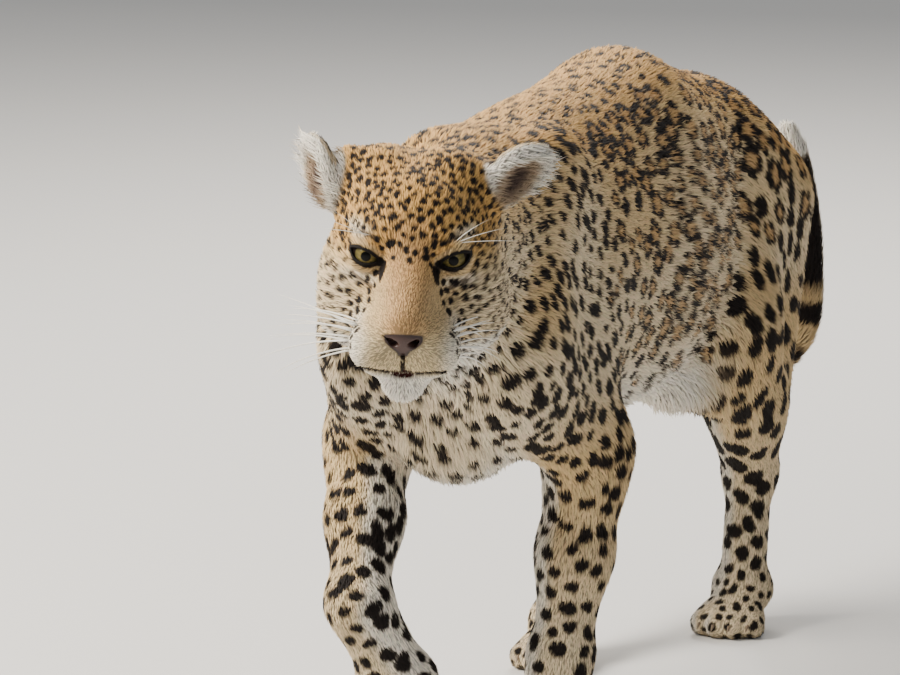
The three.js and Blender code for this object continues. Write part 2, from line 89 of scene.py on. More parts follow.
# How the coat lies by kind: depth over the skin, tuft length, tuft width, lift in degrees, spacing
COATS = {
    "skull": (2.6, 8.0, 1.3, 14, 1.95),
    "snout": (1.5, 4.2, 0.9, 12, 1.45),
    "cheek": (3.6, 12.0, 1.5, 16, 2.1),
    "jaw": (3.2, 9.0, 1.4, 17, 1.9),
    "ear": (1.6, 7.0, 1.2, 18, 1.8),
    "neck": (5.6, 16.0, 2.0, 16, 2.55),
    "throat": (6.8, 20.0, 2.2, 18, 2.7),
    "trunk": (4.8, 15.0, 2.0, 14, 2.55),
    "belly": (7.5, 24.0, 2.3, 18, 2.8),
    "upper_leg": (4.2, 13.0, 1.9, 14, 2.5),
    "lower_leg": (2.9, 8.5, 1.5, 13, 2.1),
    "foot": (2.1, 5.5, 1.2, 13, 1.7),
    "tail": (4.6, 14.0, 1.8, 16, 2.2),
}
DEPTH, LENGTH, WIDTH, LIFT, SPACING = range(1, 6)  # columns of a shape's traits, after its weight
LIE = slice(6, 9)
FIRST_PART = 9
PARTS = ["head", "neck", "chest", "rump", "fore_left", "fore_right", "hind_left", "hind_right", "tail"]
FORELEGS = slice(4, 6)

# Colours of the coat, sRGB
GOLD = (0.80, 0.62, 0.36)
TAN = (0.81, 0.69, 0.50)
BUFF = (0.85, 0.77, 0.63)
WHITE = (0.91, 0.88, 0.82)
BLACK = (0.085, 0.055, 0.040)
ROSETTE = (0.68, 0.50, 0.29)
BRIDGE = (0.77, 0.60, 0.40)
MUZZLE = (0.86, 0.77, 0.60)
NOSE = (0.28, 0.19, 0.165)
MOUTH = (0.22, 0.08, 0.06)
PAD = (0.085, 0.065, 0.055)
EAR_SKIN = (0.30, 0.24, 0.21)
EAR_FUR = (0.62, 0.53, 0.43)
IRIS_INNER, IRIS_OUTER = (0.42, 0.37, 0.21), (0.33, 0.30, 0.17)
EYE_RIM = (0.10, 0.07, 0.05)
PUPIL = (0.01, 0.01, 0.01)
WHISKER_WHITE = (0.93, 0.91, 0.86)
HORN = (0.45, 0.38, 0.30)


def linear(colour):
    """sRGB to the linear colours that a mesh stores."""
    c = np.asarray(colour, float)
    return np.where(c < 0.04045, c / 12.92, ((c + 0.055) / 1.055) ** 2.4)


def ramp(x, start, end):
    """0 at start, 1 at end, and smooth between."""
    t = np.clip((x - start) / (end - start), 0, 1)
    return t * t * (3 - 2 * t)


def norm(v):
    """Lengths of vectors."""
    return np.linalg.norm(v, axis=-1)


def unit(v):
    return v / np.maximum(np.linalg.norm(v, axis=-1, keepdims=True), TINY)


def mix(a, b, share):
    share = np.asarray(share)[..., None]
    return np.asarray(a) * (1 - share) + np.asarray(b) * share


def wobble(p, size, seed=0):
    """Smooth noise from -1 to 1 with features of about that size."""
    total, waves = np.zeros(len(p)), 5
    draw = np.random.default_rng(seed)
    for _ in range(waves):
        way = draw.normal(size=3)
        way *= 2.6 / (size * np.linalg.norm(way)) * draw.uniform(0.7, 1.6)
        total += np.sin(p @ way + draw.uniform(0, 2 * math.pi))
    return total / waves


def spin(x, y, z):
    """A turn by these degrees, as a matrix."""
    return np.array(Euler([math.radians(a) for a in (x, y, z)], "XYZ").to_matrix())


def cup_spin(lean, turn):
    """The turn of an ear: first about Z, then about Y."""
    return spin(0, lean, 0) @ spin(0, 0, turn)


HEAD_SPIN = spin(0, 0, HEAD_TURN[0]) @ spin(HEAD_TURN[1], 0, 0) @ spin(0, HEAD_TURN[2], 0)


def to_head(p):
    return (p - HEAD_AT) @ HEAD_SPIN


def from_head(p):
    return np.asarray(p) @ HEAD_SPIN.T + HEAD_AT


# How fast a shape's say in the coat fades with distance, and the distances that count
TRAIT_FADE = 7
TRAIT_SPAN = (-25, 60)


# The body as a field: below zero inside, and softly joined from cones and ovals
class Field:
    def __init__(self):
        self.shapes = []

    def wear(self, coat, part=None, lie=None):
        """Coat, part and lie of the hair of the shapes that follow; None keeps the last one."""
        if part is not None:
            self.marks = [float(part == name) for name in PARTS]
        if lie is not None:
            self.lie = unit(np.array(lie, float))
        self.traits = np.array([1, *COATS[coat], *self.lie, *self.marks])

    def add(self, shape, blend, sign, low, high, lie=None):
        traits = self.traits.copy()
        if lie is not None:
            traits[LIE] = unit(lie)
        self.shapes.append((shape, blend, sign, np.array(low), np.array(high), traits))

    def cone(self, a, ra, b, rb, wide=1.0, blend=BLEND, lie=None):
        a, b = np.array(a, float), np.array(b, float)
        squeeze = np.array([1 / wide, 1, 1])
        axis = (b - a) * squeeze
        span = axis @ axis

        def shape(p):
            q = (p - a) * squeeze
            t = np.clip(q @ axis / span, 0, 1)
            away = norm(q - t[:, None] * axis)
            return (away - ra - (rb - ra) * t) * min(1, wide)

        reach = max(ra, rb) * max(1, wide)
        self.add(shape, blend, 1, np.minimum(a, b) - reach, np.maximum(a, b) + reach,
                 (b - a) if lie is None else lie)

    def oval(self, centre, radii, blend, turn=(0, 0), sign=1):
        centre, radii = np.array(centre, float), np.array(radii, float)
        turned = cup_spin(*turn)

        def shape(p):
            q = (p - centre) @ turned / radii
            near = norm(q)
            slope = norm(q / radii)
            return near * (near - 1) / np.maximum(slope, 1e-6)

        reach = radii.max()
        self.add(shape, blend, sign, centre - reach, centre + reach)

    def read(self, p, margin, columns):
        """Distance, and the summed traits of the shapes near each point with their weight."""
        d = np.full(len(p), FAR)
        traits = np.zeros((len(p), columns + 1))
        lows = np.array([shape[3] - shape[1] - margin for shape in self.shapes])
        highs = np.array([shape[4] + shape[1] + margin for shape in self.shapes])
        for block in blocks_of(p):
            q = p[block]
            near = np.all((q.max(axis=0) > lows) & (q.min(axis=0) < highs), axis=1)
            here, worn = np.full(len(q), FAR), np.zeros((len(q), columns + 1))
            for i in np.flatnonzero(near):
                shape, blend, sign, _, _, own = self.shapes[i]
                e = sign * shape(q)
                h = np.maximum(blend - np.abs(here - e), 0) / blend
                join = np.minimum(here, e) if sign > 0 else np.maximum(here, e)
                here = join - sign * h * h * blend / 4
                if sign > 0:
                    w = np.exp(-np.clip(e, *TRAIT_SPAN) / TRAIT_FADE)
                    worn += w[:, None] * own[:columns + 1]
            d[block], traits[block] = here, worn
        return d, traits


def blocks_of(p, size=56):
    """The points' numbers, in groups that lie close together."""
    cell = np.floor(p / size).astype(np.int64)
    key = cell @ (10**6, 10**3, 1)
    order = np.argsort(key, kind="stable")
    return np.split(order, np.flatnonzero(np.diff(key[order])) + 1)


def soft_max(a, b, blend):
    h = np.maximum(blend - np.abs(a - b), 0) / blend
    return np.maximum(a, b) + h * h * blend / 4


def soft_min(a, b, blend):
    return -soft_max(-a, -b, blend)


def middle(a, b, share=0.5):
    return tuple(p * (1 - share) + q * share for p, q in zip(a, b))


def make_head():
    """The head in its own frame, facing -Y."""
    head = Field()
    back = (0, 1, 0)
    head.wear("skull", "head", back)
    head.oval((0, 14, 36), (67, 82, 62), 20)
    head.oval((0, -34, 40), (57, 50, 44), 30)
    head.wear("neck")
    head.oval((0, 42, 0), (74, 62, 70), 30)
    head.wear("snout")
    head.cone((0, -58, 16), 34, (0, -134, -13), 23, 1, 24, lie=back)
    head.cone((0, -88, -38), 36, (0, -126, -40), 26, 1.35, 20, lie=back)
    head.wear("jaw")
    head.cone((0, -40, -58), 40, (0, -122, -74), 19, 1.15, 20, lie=back)
    for side in (1, -1):
        head.wear("skull")
        head.oval((34 * side, 22, 66), (36, 42, 38), 20)
        head.wear("cheek")
        head.oval((45 * side, -18, -12), (43, 60, 52), 26)
        head.wear("skull")
        head.oval((33 * side, -62, 45), (24, 20, 13), 16, (20 * side, 0))
        head.wear("snout")
        head.oval((27 * side, -124, -38), (25, 33, 25), 16)
        head.wear("cheek")
        head.oval((50 * side, 8, -52), (38, 48, 34), 26)
        head.oval((40 * side, -90, 25), (17, 14, 9), 8, (14 * side, 0), -1)
    head.wear("skull")
    head.oval((66, 26, 66), (22, 24, 24), 16)
    head.oval((-64, 26, 66), (20, 26, 34), 16)
    for place, turn in EARS.values():
        up, out = cup_spin(*turn) @ (0, 0, 1), cup_spin(*turn) @ (0, -17, 4)
        head.wear("ear", lie=up)
        head.oval(place, (30, 14, 36), 14, turn)
        head.oval(out + place, (22, 15, 26), 4, turn, -1)
    return head


def tail_path(steps=30):
    """Evenly spaced points on a centripetal Catmull-Rom curve through TAIL."""
    through = np.array(TAIL, float)
    ends = np.vstack([2 * through[0] - through[1], through, 2 * through[-1] - through[-2]])
    fine = []
    for a, b, c, d in zip(ends, ends[1:], ends[2:], ends[3:]):
        before, here, after = (np.linalg.norm(v) ** 0.5 for v in (b - a, c - b, d - c))
        leave = ((b - a) / before - (c - a) / (before + here) + (c - b) / here) * here
        reach = ((c - b) / here - (d - b) / (here + after) + (d - c) / after) * here
        t = np.linspace(0, 1, 40, endpoint=False)[:, None]
        fine.append(b + leave * t + (3 * (c - b) - 2 * leave - reach) * t**2
                    + (2 * (b - c) + leave + reach) * t**3)
    fine = np.vstack([*fine, through[-1]])
    run = np.concatenate([[0], np.cumsum(norm(np.diff(fine, axis=0)))])
    at = np.linspace(0, run[-1], steps + 1)
    return np.stack([np.interp(at, run, fine[:, axis]) for axis in range(3)], axis=1)


TAIL_PATH = tail_path()
FINE_TAIL = tail_path(180)


def toes(leg, side):
    """Root and tip of each of a foot's four toes."""
    toe, ahead = np.array(leg["toe"], float), np.array(leg["ahead"], float)
    spread = 20 if "wrist" in leg else 17.5
    for k in (-1.5, -0.5, 0.5, 1.5):
        reach = 23 - 8 * abs(abs(k) - 0.5) - 2 * side * k
        tip = toe + ahead * reach + (k * spread, 0, -6 if ahead[2] == 0 else 0)
        yield toe + (k * spread * 0.8, 0, 0), tip


def make_body():
    """Trunk, neck, legs and tail."""
    body = Field()
    back = (0, 1, -0.1)
    body.wear("trunk", "chest", back)
    body.cone((0, -290, 566), 84, (0, 110, 584), 82, 0.95)
    body.wear("trunk", "rump")
    body.cone((0, 110, 584), 82, (0, 320, 532), 74, 1, 20)
    body.cone((0, 320, 532), 74, (0, 415, 478), 56, 1.05, 20)
    body.wear("trunk", "chest", (0, 1, -0.35))
    body.oval((0, -150, 478), (114, 250, 162), 40)
    body.wear("belly", "rump", (0, 1, -0.3))
    body.oval((0, 70, 468), (116, 220, 172), 40)
    body.oval((0, 200, 440), (90, 150, 156), 40)
    body.wear("throat", "chest", (0, 0.6, -0.8))
    body.oval((0, -325, 452), (96, 110, 142), 40)
    body.wear("neck", "neck", back)
    body.cone((0, -310, 555), 94, (34, -480, 578), 84, 0.92, 40, lie=(0, 1, -0.2))
    body.wear("throat", "neck", back)
    body.cone((14, -380, 480), 80, (42, -500, 535), 62, 0.95, 40, lie=(0, 0.8, -0.6))
    for name, (leg, side) in LEGS.items():
        if name.startswith("fore"):
            make_foreleg(body, leg, name)
        else:
            make_hind_leg(body, leg, name, side)
        radius = 20 if "wrist" in leg else 18
        body.wear("foot", name, leg["ahead"])
        for root, tip in toes(leg, side):
            body.cone(root, radius, tip, radius - 1, 0.9, 7)
    body.wear("tail", "tail", back)
    steps = len(TAIL_PATH) - 1
    radii = [TAIL_ROOT_R + (TAIL_TIP_R - TAIL_ROOT_R) * (i / steps) ** 0.7 for i in range(steps + 1)]
    for i in range(steps):
        body.cone(TAIL_PATH[i], radii[i], TAIL_PATH[i + 1], radii[i + 1], 1, 14)
    return body


def make_foreleg(body, leg, name):
    blade, shoulder, elbow, wrist = (leg[key] for key in ("blade", "shoulder", "elbow", "wrist"))
    back = (0, 0.75, -0.65)
    body.wear("upper_leg", name, back)
    body.cone(blade, 44, shoulder, 60, 0.6, 40, lie=back)
    body.cone(shoulder, 60, elbow, 50, 0.62, 40, lie=back)
    triceps = (0.5 * (blade[0] + elbow[0]), elbow[1] - 20, 0.45 * blade[2] + 0.55 * elbow[2])
    body.cone(triceps, 62, elbow, 46, 0.55, 40, lie=back)
    half = middle(elbow, wrist)
    body.cone(elbow, 50, half, 41, 0.88, 20)
    body.wear("lower_leg")
    body.cone(half, 41, wrist, 30, 0.92, 20)
    body.cone(wrist, 31, leg["knuckle"], 31, 1.1, 20)
    body.wear("foot")
    body.cone(leg["knuckle"], 33, leg["toe"], 25, 1.25, 16)


def make_hind_leg(body, leg, name, side):
    hip, stifle, hock, knuckle = (leg[key] for key in ("hip", "stifle", "hock", "knuckle"))
    down = (0, 0.5, -0.85)
    calf = middle(stifle, hock, 0.6)
    body.wear("upper_leg", name, down)
    body.cone(hip, 80, stifle, 60, 0.6, 40, lie=down)
    body.cone(leg["seat"], 60, (calf[0], calf[1] + 38, calf[2] + 10), 49, 0.72, 40, lie=down)
    body.wear("belly")
    body.cone((48 * side, stifle[1] - 110, 306), 24,
              (stifle[0] * 0.9, stifle[1] + 6, stifle[2] - 66), 34, 0.9, 40, lie=down)
    body.wear("upper_leg")
    half = middle(stifle, hock)
    body.cone(stifle, 58, half, 49, 0.76, 30, lie=down)
    body.wear("lower_leg")
    body.cone(half, 49, hock, 35, 0.88, 20, lie=down)
    body.cone(hock, 26, leg["heel"], 17, 0.9, 16, lie=down)
    body.cone(hock, 26, knuckle, 26, 1, 16)
    body.wear("foot")
    body.cone(knuckle, 27, leg["toe"], 22, 1.3, 16)


def pads_of(leg, side):
    """Balls at the pads under a foot, and the way the sole faces."""
    ahead = np.array(leg["ahead"], float)
    sole = unit(np.cross((1, 0, 0), ahead))
    balls = [(tip + 13 * sole, 8.5) for _, tip in toes(leg, side)]
    return [*balls, (np.array(leg["toe"]) - 14 * ahead + 14 * sole, 16)], sole


LIFTED_PADS, _ = pads_of(RIGHT_FORE, -1)
HEAD = make_head()
BODY = make_body()
HEAD_BLEND = 34  # how softly the head joins the neck


# Degrees that the lids face outward and upward
LIDS_OUT = 20
LIDS_UP = -4


def eye_frame(side):
    """Centre and turn of an eye: its -Y looks out of the lids, its X is outward."""
    return np.array(EYE) * (side, 1, 1), spin(0, 0, LIDS_OUT * side) @ spin(LIDS_UP, 0, 0)


FACE_AT, FACE_REACH, FACE_BACK = (0, -95, -10), 95, -30
LID_TILT = math.radians(15)
LID_HALF = 14.6  # half the width of the gap between the lids
UPPER_LID = 5.2  # its height over and below the middle
LOWER_LID = 6.4
LID_OVER = 2.3  # thickness of the skin over the eyeball


def eye_opening(h, side):
    """Distance to the edge of the gap between the lids, below zero in it, and depth behind the eye."""
    centre, turned = eye_frame(side)
    q = (h - centre) @ turned
    across = q[:, 0] * side
    x = across * math.cos(LID_TILT) + q[:, 2] * math.sin(LID_TILT)
    z = -across * math.sin(LID_TILT) + q[:, 2] * math.cos(LID_TILT)
    arch = 1 - np.minimum(np.abs(x) / LID_HALF, 1) ** 2.2
    edge = np.maximum(z - UPPER_LID * arch, -LOWER_LID * arch - z)
    past = np.maximum(np.abs(x) - LID_HALF, 0)
    return np.hypot(np.maximum(edge, 0), past) + np.minimum(edge, 0) * (past == 0), q


def mirrored_head(h):
    """Places on the head's left half, and the right half's mirrored onto it."""
    return np.stack([np.abs(h[:, 0]), h[:, 1], h[:, 2]], axis=1)


def carve_face(d, h):
    """Lids, nostrils, lips and the folds of the muzzle, on the skin of the head."""
    for side in (1, -1):
        centre, _ = eye_frame(side)
        radius = norm(h - centre)
        d = soft_min(d, radius - EYE_R - LID_OVER, 5)
        edge, q = eye_opening(h, side)
        hole = np.maximum(np.maximum(edge, EYE_R - 1.2 - radius), q[:, 1] + 3)
        d = soft_max(d, -hole, 0.8)
    half = mirrored_head(h)
    pad = (half - NOSE_AT) / NOSE_R
    d = soft_min(d, (norm(pad) - 1) * NOSE_R[1], 3)
    for shape, blend in NOSE_HOLLOWS:
        d = soft_max(d, -shape(half), blend)
    return d


def capsule(a, b, r, flat=1.0):
    """Distance to a rounded rod, thinner along Z where flat is over 1."""
    a, b = np.array(a, float), np.array(b, float)
    squeeze = np.array([1, 1, flat])
    axis = (b - a) * squeeze

    def shape(p):
        q = (p - a) * squeeze
        t = np.clip(q @ axis / (axis @ axis), 0, 1)
        return (norm(q - t[:, None] * axis) - r) / flat

    return shape


NOSE_AT = (0, -146, -22)
NOSE_R = (18, 10.5, 11.5)
NOSE_TOP, NOSE_BOTTOM, NOSE_BACK = -15.5, -37.5, -140


def on_face(x, z):
    """The place on the skin straight ahead of this place on the front of the muzzle."""
    ahead, behind, halvings = -200.0, -70.0, 16
    for _ in range(halvings):
        y = (ahead + behind) / 2
        d, traits = HEAD.read(np.array([[x, y, z]], float), 12, 1)
        if d[0] + traits[0, DEPTH] / max(traits[0, 0], TINY) > 0:
            ahead = y
        else:
            behind = y
    return x, ahead, z


MOUTH_CORNER = (43, -98, -66)
LIP_PATH = [on_face(0, -56), on_face(10, -56.5), on_face(20, -54.5), on_face(29, -53), on_face(36, -54.5),
            MOUTH_CORNER]
PHILTRUM = [on_face(0, -37), on_face(0, -54)]
# The left half of each hollow of the nose and mouth, with how softly its edge turns
NOSE_HOLLOWS = [
    (capsule((8, -157, -26), (10.5, -147, -23), 4.0, 1.3), 1.4),
    (capsule((11, -155, -22.5), (17, -147, -22), 1.8), 1.2),
    (capsule(*PHILTRUM, 1.7), 1.6),
    (capsule(on_face(0, -58.5), on_face(7, -58), 3.6, 1.3), 1.2),
    *[(capsule(a, b, 2.3), 2.6) for a, b in zip(LIP_PATH, LIP_PATH[1:])],
]


def read(p, margin=12, columns=1):
    """Distance to the coat's outside, and the traits there."""
    d, traits = BODY.read(p, margin, columns)
    h = to_head(p)
    close = norm(h) < HEAD_REACH
    if close.any():
        dh, th = HEAD.read(h[close], margin, columns)
        d[close] = soft_min(d[close], dh, HEAD_BLEND)
        if columns > 1:
            th[:, LIE] = th[:, LIE] @ HEAD_SPIN.T
        traits[close] += th
    return d, traits / np.maximum(traits[:, :1], TINY)


def skin(p, margin=12):
    """Distance to the skin, under the coat."""
    d, traits = read(p, margin)
    d = d + traits[:, DEPTH]
    for centre, radius in LIFTED_PADS:
        d = soft_min(d, norm(p - centre) - radius, 4)
    h = to_head(p)
    face = (norm(h - FACE_AT) < FACE_REACH) & (h[:, 1] < FACE_BACK)
    if face.any():
        d[face] = carve_face(d[face], h[face])
    return np.maximum(d, FLOOR_GAP - p[:, 2])


def slope(p, d, step=0.4):
    """The way in which the distance grows."""
    return np.stack([skin(p + offset) - d for offset in np.eye(3) * step], axis=1) / step


def settle(p, rounds, most=2.0):
    """Moves points onto the skin, by no more than that in a round."""
    for _ in range(rounds):
        d = skin(p)
        g = slope(p, d)
        size = np.maximum(np.sum(g * g, axis=1), 0.15)
        p = p - np.clip(d / size, -most, most)[:, None] * g
    return p


AXES = np.eye(3, dtype=int)


def grid(*counts):
    """Every place of a grid with so many places each way, as whole numbers."""
    return np.stack(np.meshgrid(*[np.arange(n) for n in counts], indexing="ij"), -1).reshape(-1, 3)


def trace(low, high, cell, block=4):
    """The skin as triangles: a point in each grid cell that it crosses, joined across grid edges."""
    blocks = np.ceil((high - low) / (cell * block)).astype(int)
    starts = grid(*blocks)
    centre = low + (starts + 0.5) * cell * block - 0.5 * cell
    reach = 1.35 * cell * block
    rough = skin(centre, 2 * reach)
    values = np.kron(rough.reshape(blocks), np.ones((block, block, block)))
    spots = (starts[np.abs(rough) < reach][:, None] * block + grid(block, block, block)).reshape(-1, 3)
    values[tuple(spots.T)] = skin(low + spots * cell)
    inside = values < 0

    corners = grid(2, 2, 2)
    size = np.array(values.shape) - 1
    count = sum(inside[tuple(slice(c, c + n) for c, n in zip(corner, size))].astype(np.uint8)
                for corner in corners)
    cells = np.argwhere((count > 0) & (count < 8))
    number = np.full(values.shape, -1)
    number[tuple(cells.T)] = np.arange(len(cells))
    total, crossings = np.zeros((len(cells), 3)), np.zeros(len(cells))
    for corner in corners:
        for axis in np.flatnonzero(corner == 0):
            step = AXES[axis]
            a = values[tuple((cells + corner).T)]
            b = values[tuple((cells + corner + step).T)]
            cross = (a < 0) != (b < 0)
            t = np.where(cross, a / np.where(cross, a - b, 1), 0)
            total += cross[:, None] * (cells + corner + t[:, None] * step)
            crossings += cross
    points = low + total / crossings[:, None] * cell

    quads = []
    for axis in range(3):
        step, u, v = AXES[axis], AXES[axis - 2], AXES[axis - 1]
        here = tuple(slice(0, n - s) for n, s in zip(values.shape, step))
        there = tuple(slice(s, n) for n, s in zip(values.shape, step))
        edges = np.argwhere(inside[here] != inside[there])
        ring = [number[tuple((edges - back).T)] for back in (0 * u, u, u + v, v)]
        ring = np.stack(ring, axis=1)
        leaving = inside[tuple(edges.T)]
        quads.append(np.where(leaving[:, None], ring, ring[:, ::-1]))
    quads = np.vstack(quads)
    a, b, c, d = (points[quads[:, i]] for i in range(4))
    short = norm(a - c) < norm(b - d)
    first = np.where(short[:, None], quads[:, [0, 1, 2]], quads[:, [0, 1, 3]])
    second = np.where(short[:, None], quads[:, [0, 2, 3]], quads[:, [1, 2, 3]])
    return points, np.vstack([first, second])


def wanted_edge(p):
    """Edge length of the skin's triangles: finest at the eyes and nose."""
    h = to_head(p)
    # Finest edge, how fast it grows, the distance from which it does, and the place
    zones = [(2.6, 0.1, 85, norm(h - (0, -60, -5))), (1.15, 0.07, 27, norm(h - (0, -152, -30)))]
    zones += [(2.6, 0.1, 40, norm(h - place)) for place, _ in EARS.values()]
    zones += [(0.8, 0.08, 20, norm(h - eye_frame(side)[0])) for side in (1, -1)]
    zones += [(3.4, 0.1, 62, norm(p - middle(leg["knuckle"], leg["toe"], 0.8))) for leg, _ in LEGS.values()]
    size = np.full(len(p), 6.6)
    for finest, growth, start, gap in zones:
        size = np.minimum(size, finest + growth * np.maximum(gap - start, 0))
    return size


# How a triangle splits: the edges that are cut as bits, the turn of its corners to the pattern's own
# place, and the new triangles. Numbers 0 to 2 are its corners and 3 to 5 the middles of its edges
ONE_CUT = [(0, 3, 2), (3, 1, 2)]
TWO_CUTS = [(3, 1, 4), (0, 3, 4), (0, 4, 2)]
THREE_CUTS = [(0, 3, 5), (1, 4, 3), (2, 5, 4), (3, 4, 5)]
SPLITS = [(1, 0, ONE_CUT), (2, 1, ONE_CUT), (4, 2, ONE_CUT),
          (3, 0, TWO_CUTS), (6, 1, TWO_CUTS), (5, 2, TWO_CUTS), (7, 0, THREE_CUTS)]


def refine(points, tris, rounds=6):
    """Splits every edge that is longer than wanted and settles the new points on the skin."""
    for _ in range(rounds):
        ends = np.sort(np.stack([tris, np.roll(tris, -1, axis=1)], axis=2), axis=2)
        edges, which = np.unique(ends.reshape(-1, 2), axis=0, return_inverse=True)
        which = which.reshape(-1, 3)
        a, b = points[edges[:, 0]], points[edges[:, 1]]
        split = norm(a - b) > 1.35 * wanted_edge((a + b) / 2)
        if not split.any():
            break
        added = np.full(len(edges), -1)
        added[split] = len(points) + np.arange(split.sum())
        points = np.vstack([points, settle((a[split] + b[split]) / 2, 2)])
        mids = added[which]
        pattern = (mids >= 0) @ np.array([1, 2, 4])
        new = [tris[pattern == 0]]
        for code, turn, made in SPLITS:
            cut = pattern == code
            six = np.hstack([np.roll(numbers[cut], -turn, axis=1) for numbers in (tris, mids)])
            new += [six[:, corners] for corners in made]
        tris = np.vstack(new)
    return points, tris


def corner_normals(points, tris):
    """Normals of the points, each triangle counting by its area."""
    a, b, c = (points[tris[:, i]] for i in range(3))
    flat = np.cross(b - a, c - a)
    total = np.stack([sum(np.bincount(tris[:, i], flat[:, axis], len(points)) for i in range(3))
                      for axis in range(3)], axis=1)
    return unit(total)


def relax(points, tris, rounds=2):
    """Evens the triangles out along the skin."""
    for _ in range(rounds):
        ring = np.stack([sum(np.bincount(tris[:, i], points[tris[:, j], axis], len(points))
                             for i in range(3) for j in range(3) if i != j)
                         for axis in range(3)], axis=1)
        count = 2 * np.bincount(tris.ravel(), minlength=len(points))
        move = ring / np.maximum(count, 1)[:, None] - points
        normal = corner_normals(points, tris)
        move -= np.sum(move * normal, axis=1)[:, None] * normal
        points = settle(points + 0.5 * move, 1)
    return points


# Markings: each spot is a few balls set in the skin, and a rosette a broken ring of them
BALLS = 4  # in a spot, and in an arc of a rosette
# As shares of a mark's radius: a rosette's tan centre, its arcs and their balls, and a spot's balls
HEART_SIZE, ARC_OUT, ARC_BALL = 0.85, (0.72, 0.86), 0.33
SPOT_SPREAD, SPOT_BALL = 0.2, 0.78
BAR_LOW, BAR_HIGH = 150, 330  # heights on the forelegs, where spots widen into bars


def scatter(points, spacing):
    """Numbers of points that keep their own spacing from one another."""
    tree = kdtree.KDTree(len(points))
    for i, point in enumerate(points):
        tree.insert(point, i)
    tree.balance()
    free = spacing > 0
    chosen = []
    for i in rng.permutation(len(points)):
        if free[i]:
            chosen.append(i)
            for _, j, _ in tree.find_range(points[i], spacing[i]):
                free[j] = False
    return np.array(chosen)


def mark_plan(p, normal, parts):
    """Spacing, size and ring share of the marks at each point."""
    h = to_head(p)
    ax, z, up = np.abs(h[:, 0]), p[:, 2], normal[:, 2]
    part = {name: parts[:, i] for i, name in enumerate(PARTS)}
    fore = part["fore_left"] + part["fore_right"]
    hind = part["hind_left"] + part["hind_right"]
    trunk = part["chest"] + part["rump"]
    on_trunk, on_neck = ramp(trunk, 0.3, 0.7), ramp(part["neck"], 0.3, 0.7)
    on_fore, on_hind = ramp(fore, 0.35, 0.7), ramp(hind, 0.35, 0.7)
    on_head = ramp(part["head"], 0.4, 0.75)
    spacing, size, ring = np.full(len(p), 27.0), np.full(len(p), 7.5), np.zeros(len(p))

    def plan(mask, gap, radius, hollow):
        nonlocal spacing, size, ring
        spacing = spacing * (1 - mask) + gap * mask
        size = size * (1 - mask) + radius * mask
        ring = ring * (1 - mask) + hollow * mask

    plan(on_trunk, 26, 12.6, 1)
    plan(ramp(p[:, 1], -60, -240) * ramp(trunk + part["neck"], 0.3, 0.7), 15.5, 6.9, 0)
    plan(on_neck, 14, 6.3, 0)
    plan(on_trunk * ramp(np.abs(p[:, 0]), 72, 45) * ramp(up, 0.6, 0.8), 15.5, 5.9, 0)
    plan(on_trunk * ramp(up, -0.3, -0.65), 22, 8.0, 0)
    plan(on_trunk * ramp(-normal[:, 1], 0.3, 0.7) * ramp(z, 500, 420), 19, 8.8, 0)
    plan(on_fore, 17.5, 9.0, 0)
    plan(on_hind, 25, 12.2, 0)
    plan(on_hind * ramp(z, 320, 270), 26.5, 13.2, 0)
    plan(ramp(p[:, 1], 120, 250) * ramp(z, 420, 500), 27, 14.5, 1)
    plan(on_fore * ramp(z, 250, 160), 18, 8.8, 0)
    plan(on_hind * ramp(z, 190, 140), 18, 9.6, 0)
    plan(ramp(fore + hind, 0.35, 0.7) * ramp(z, 95, 50), 12, 4.6, 0)
    plan(ramp(part["tail"], 0.4, 0.8), 20, 9.0, 0)
    plan(on_head, 9.0, 3.7, 0)
    plan(on_head * ramp(h[:, 2], 15, 40) * ramp(h[:, 1], 40, 0), 8.0, 3.8, 0)
    plan(on_head * ramp(h[:, 1], -5, 40), 11.5, 5.2, 0)
    bridge = (ax < 20) & (h[:, 1] < -60) & (h[:, 2] < 34)
    muzzle = (h[:, 1] < -92) & (h[:, 2] < 25)
    spacing[(part["head"] > 0.5) & (bridge | muzzle)] = 0
    for side in (1, -1):
        centre, _ = eye_frame(side)
        spacing[norm(h - centre) < EYE_REACH] = 0
    for place, _ in EARS.values():
        spacing[norm(h - place) < 36] = 0
    spacing[(part["tail"] > 0.5) & (tail_share(p, part["tail"]) > SPOTS_END)] = 0
    spacing[fringe_share(p) > 0.4] = 0
    return spacing, size, ring


def fringe_share(p):
    """How far each point is in the pale fringe below the flank, in front of the thigh."""
    height = ramp(p[:, 2], 352, 318) * ramp(p[:, 2], 250, 280)
    return height * ramp(p[:, 1], 0, 50) * ramp(p[:, 1], 225, 155)


# Where things start along the tail, as a pair of shares between which they come up
PALE_FROM, BANDS_FROM, BLACK_FROM, TIP_FROM = (0.55, 0.7), (0.58, 0.66), (0.70, 0.76), (0.955, 0.975)
SPOTS_END = 0.62


def tail_share(p, tail):
    """How far along the tail each of its points is, from 0 to 1, and 0 off the tail."""
    share = np.zeros(len(p))
    on_tail = tail > 0.05
    gap = norm(p[on_tail][:, None] - FINE_TAIL[None])
    share[on_tail] = gap.argmin(axis=1) / (len(FINE_TAIL) - 1)
    return share


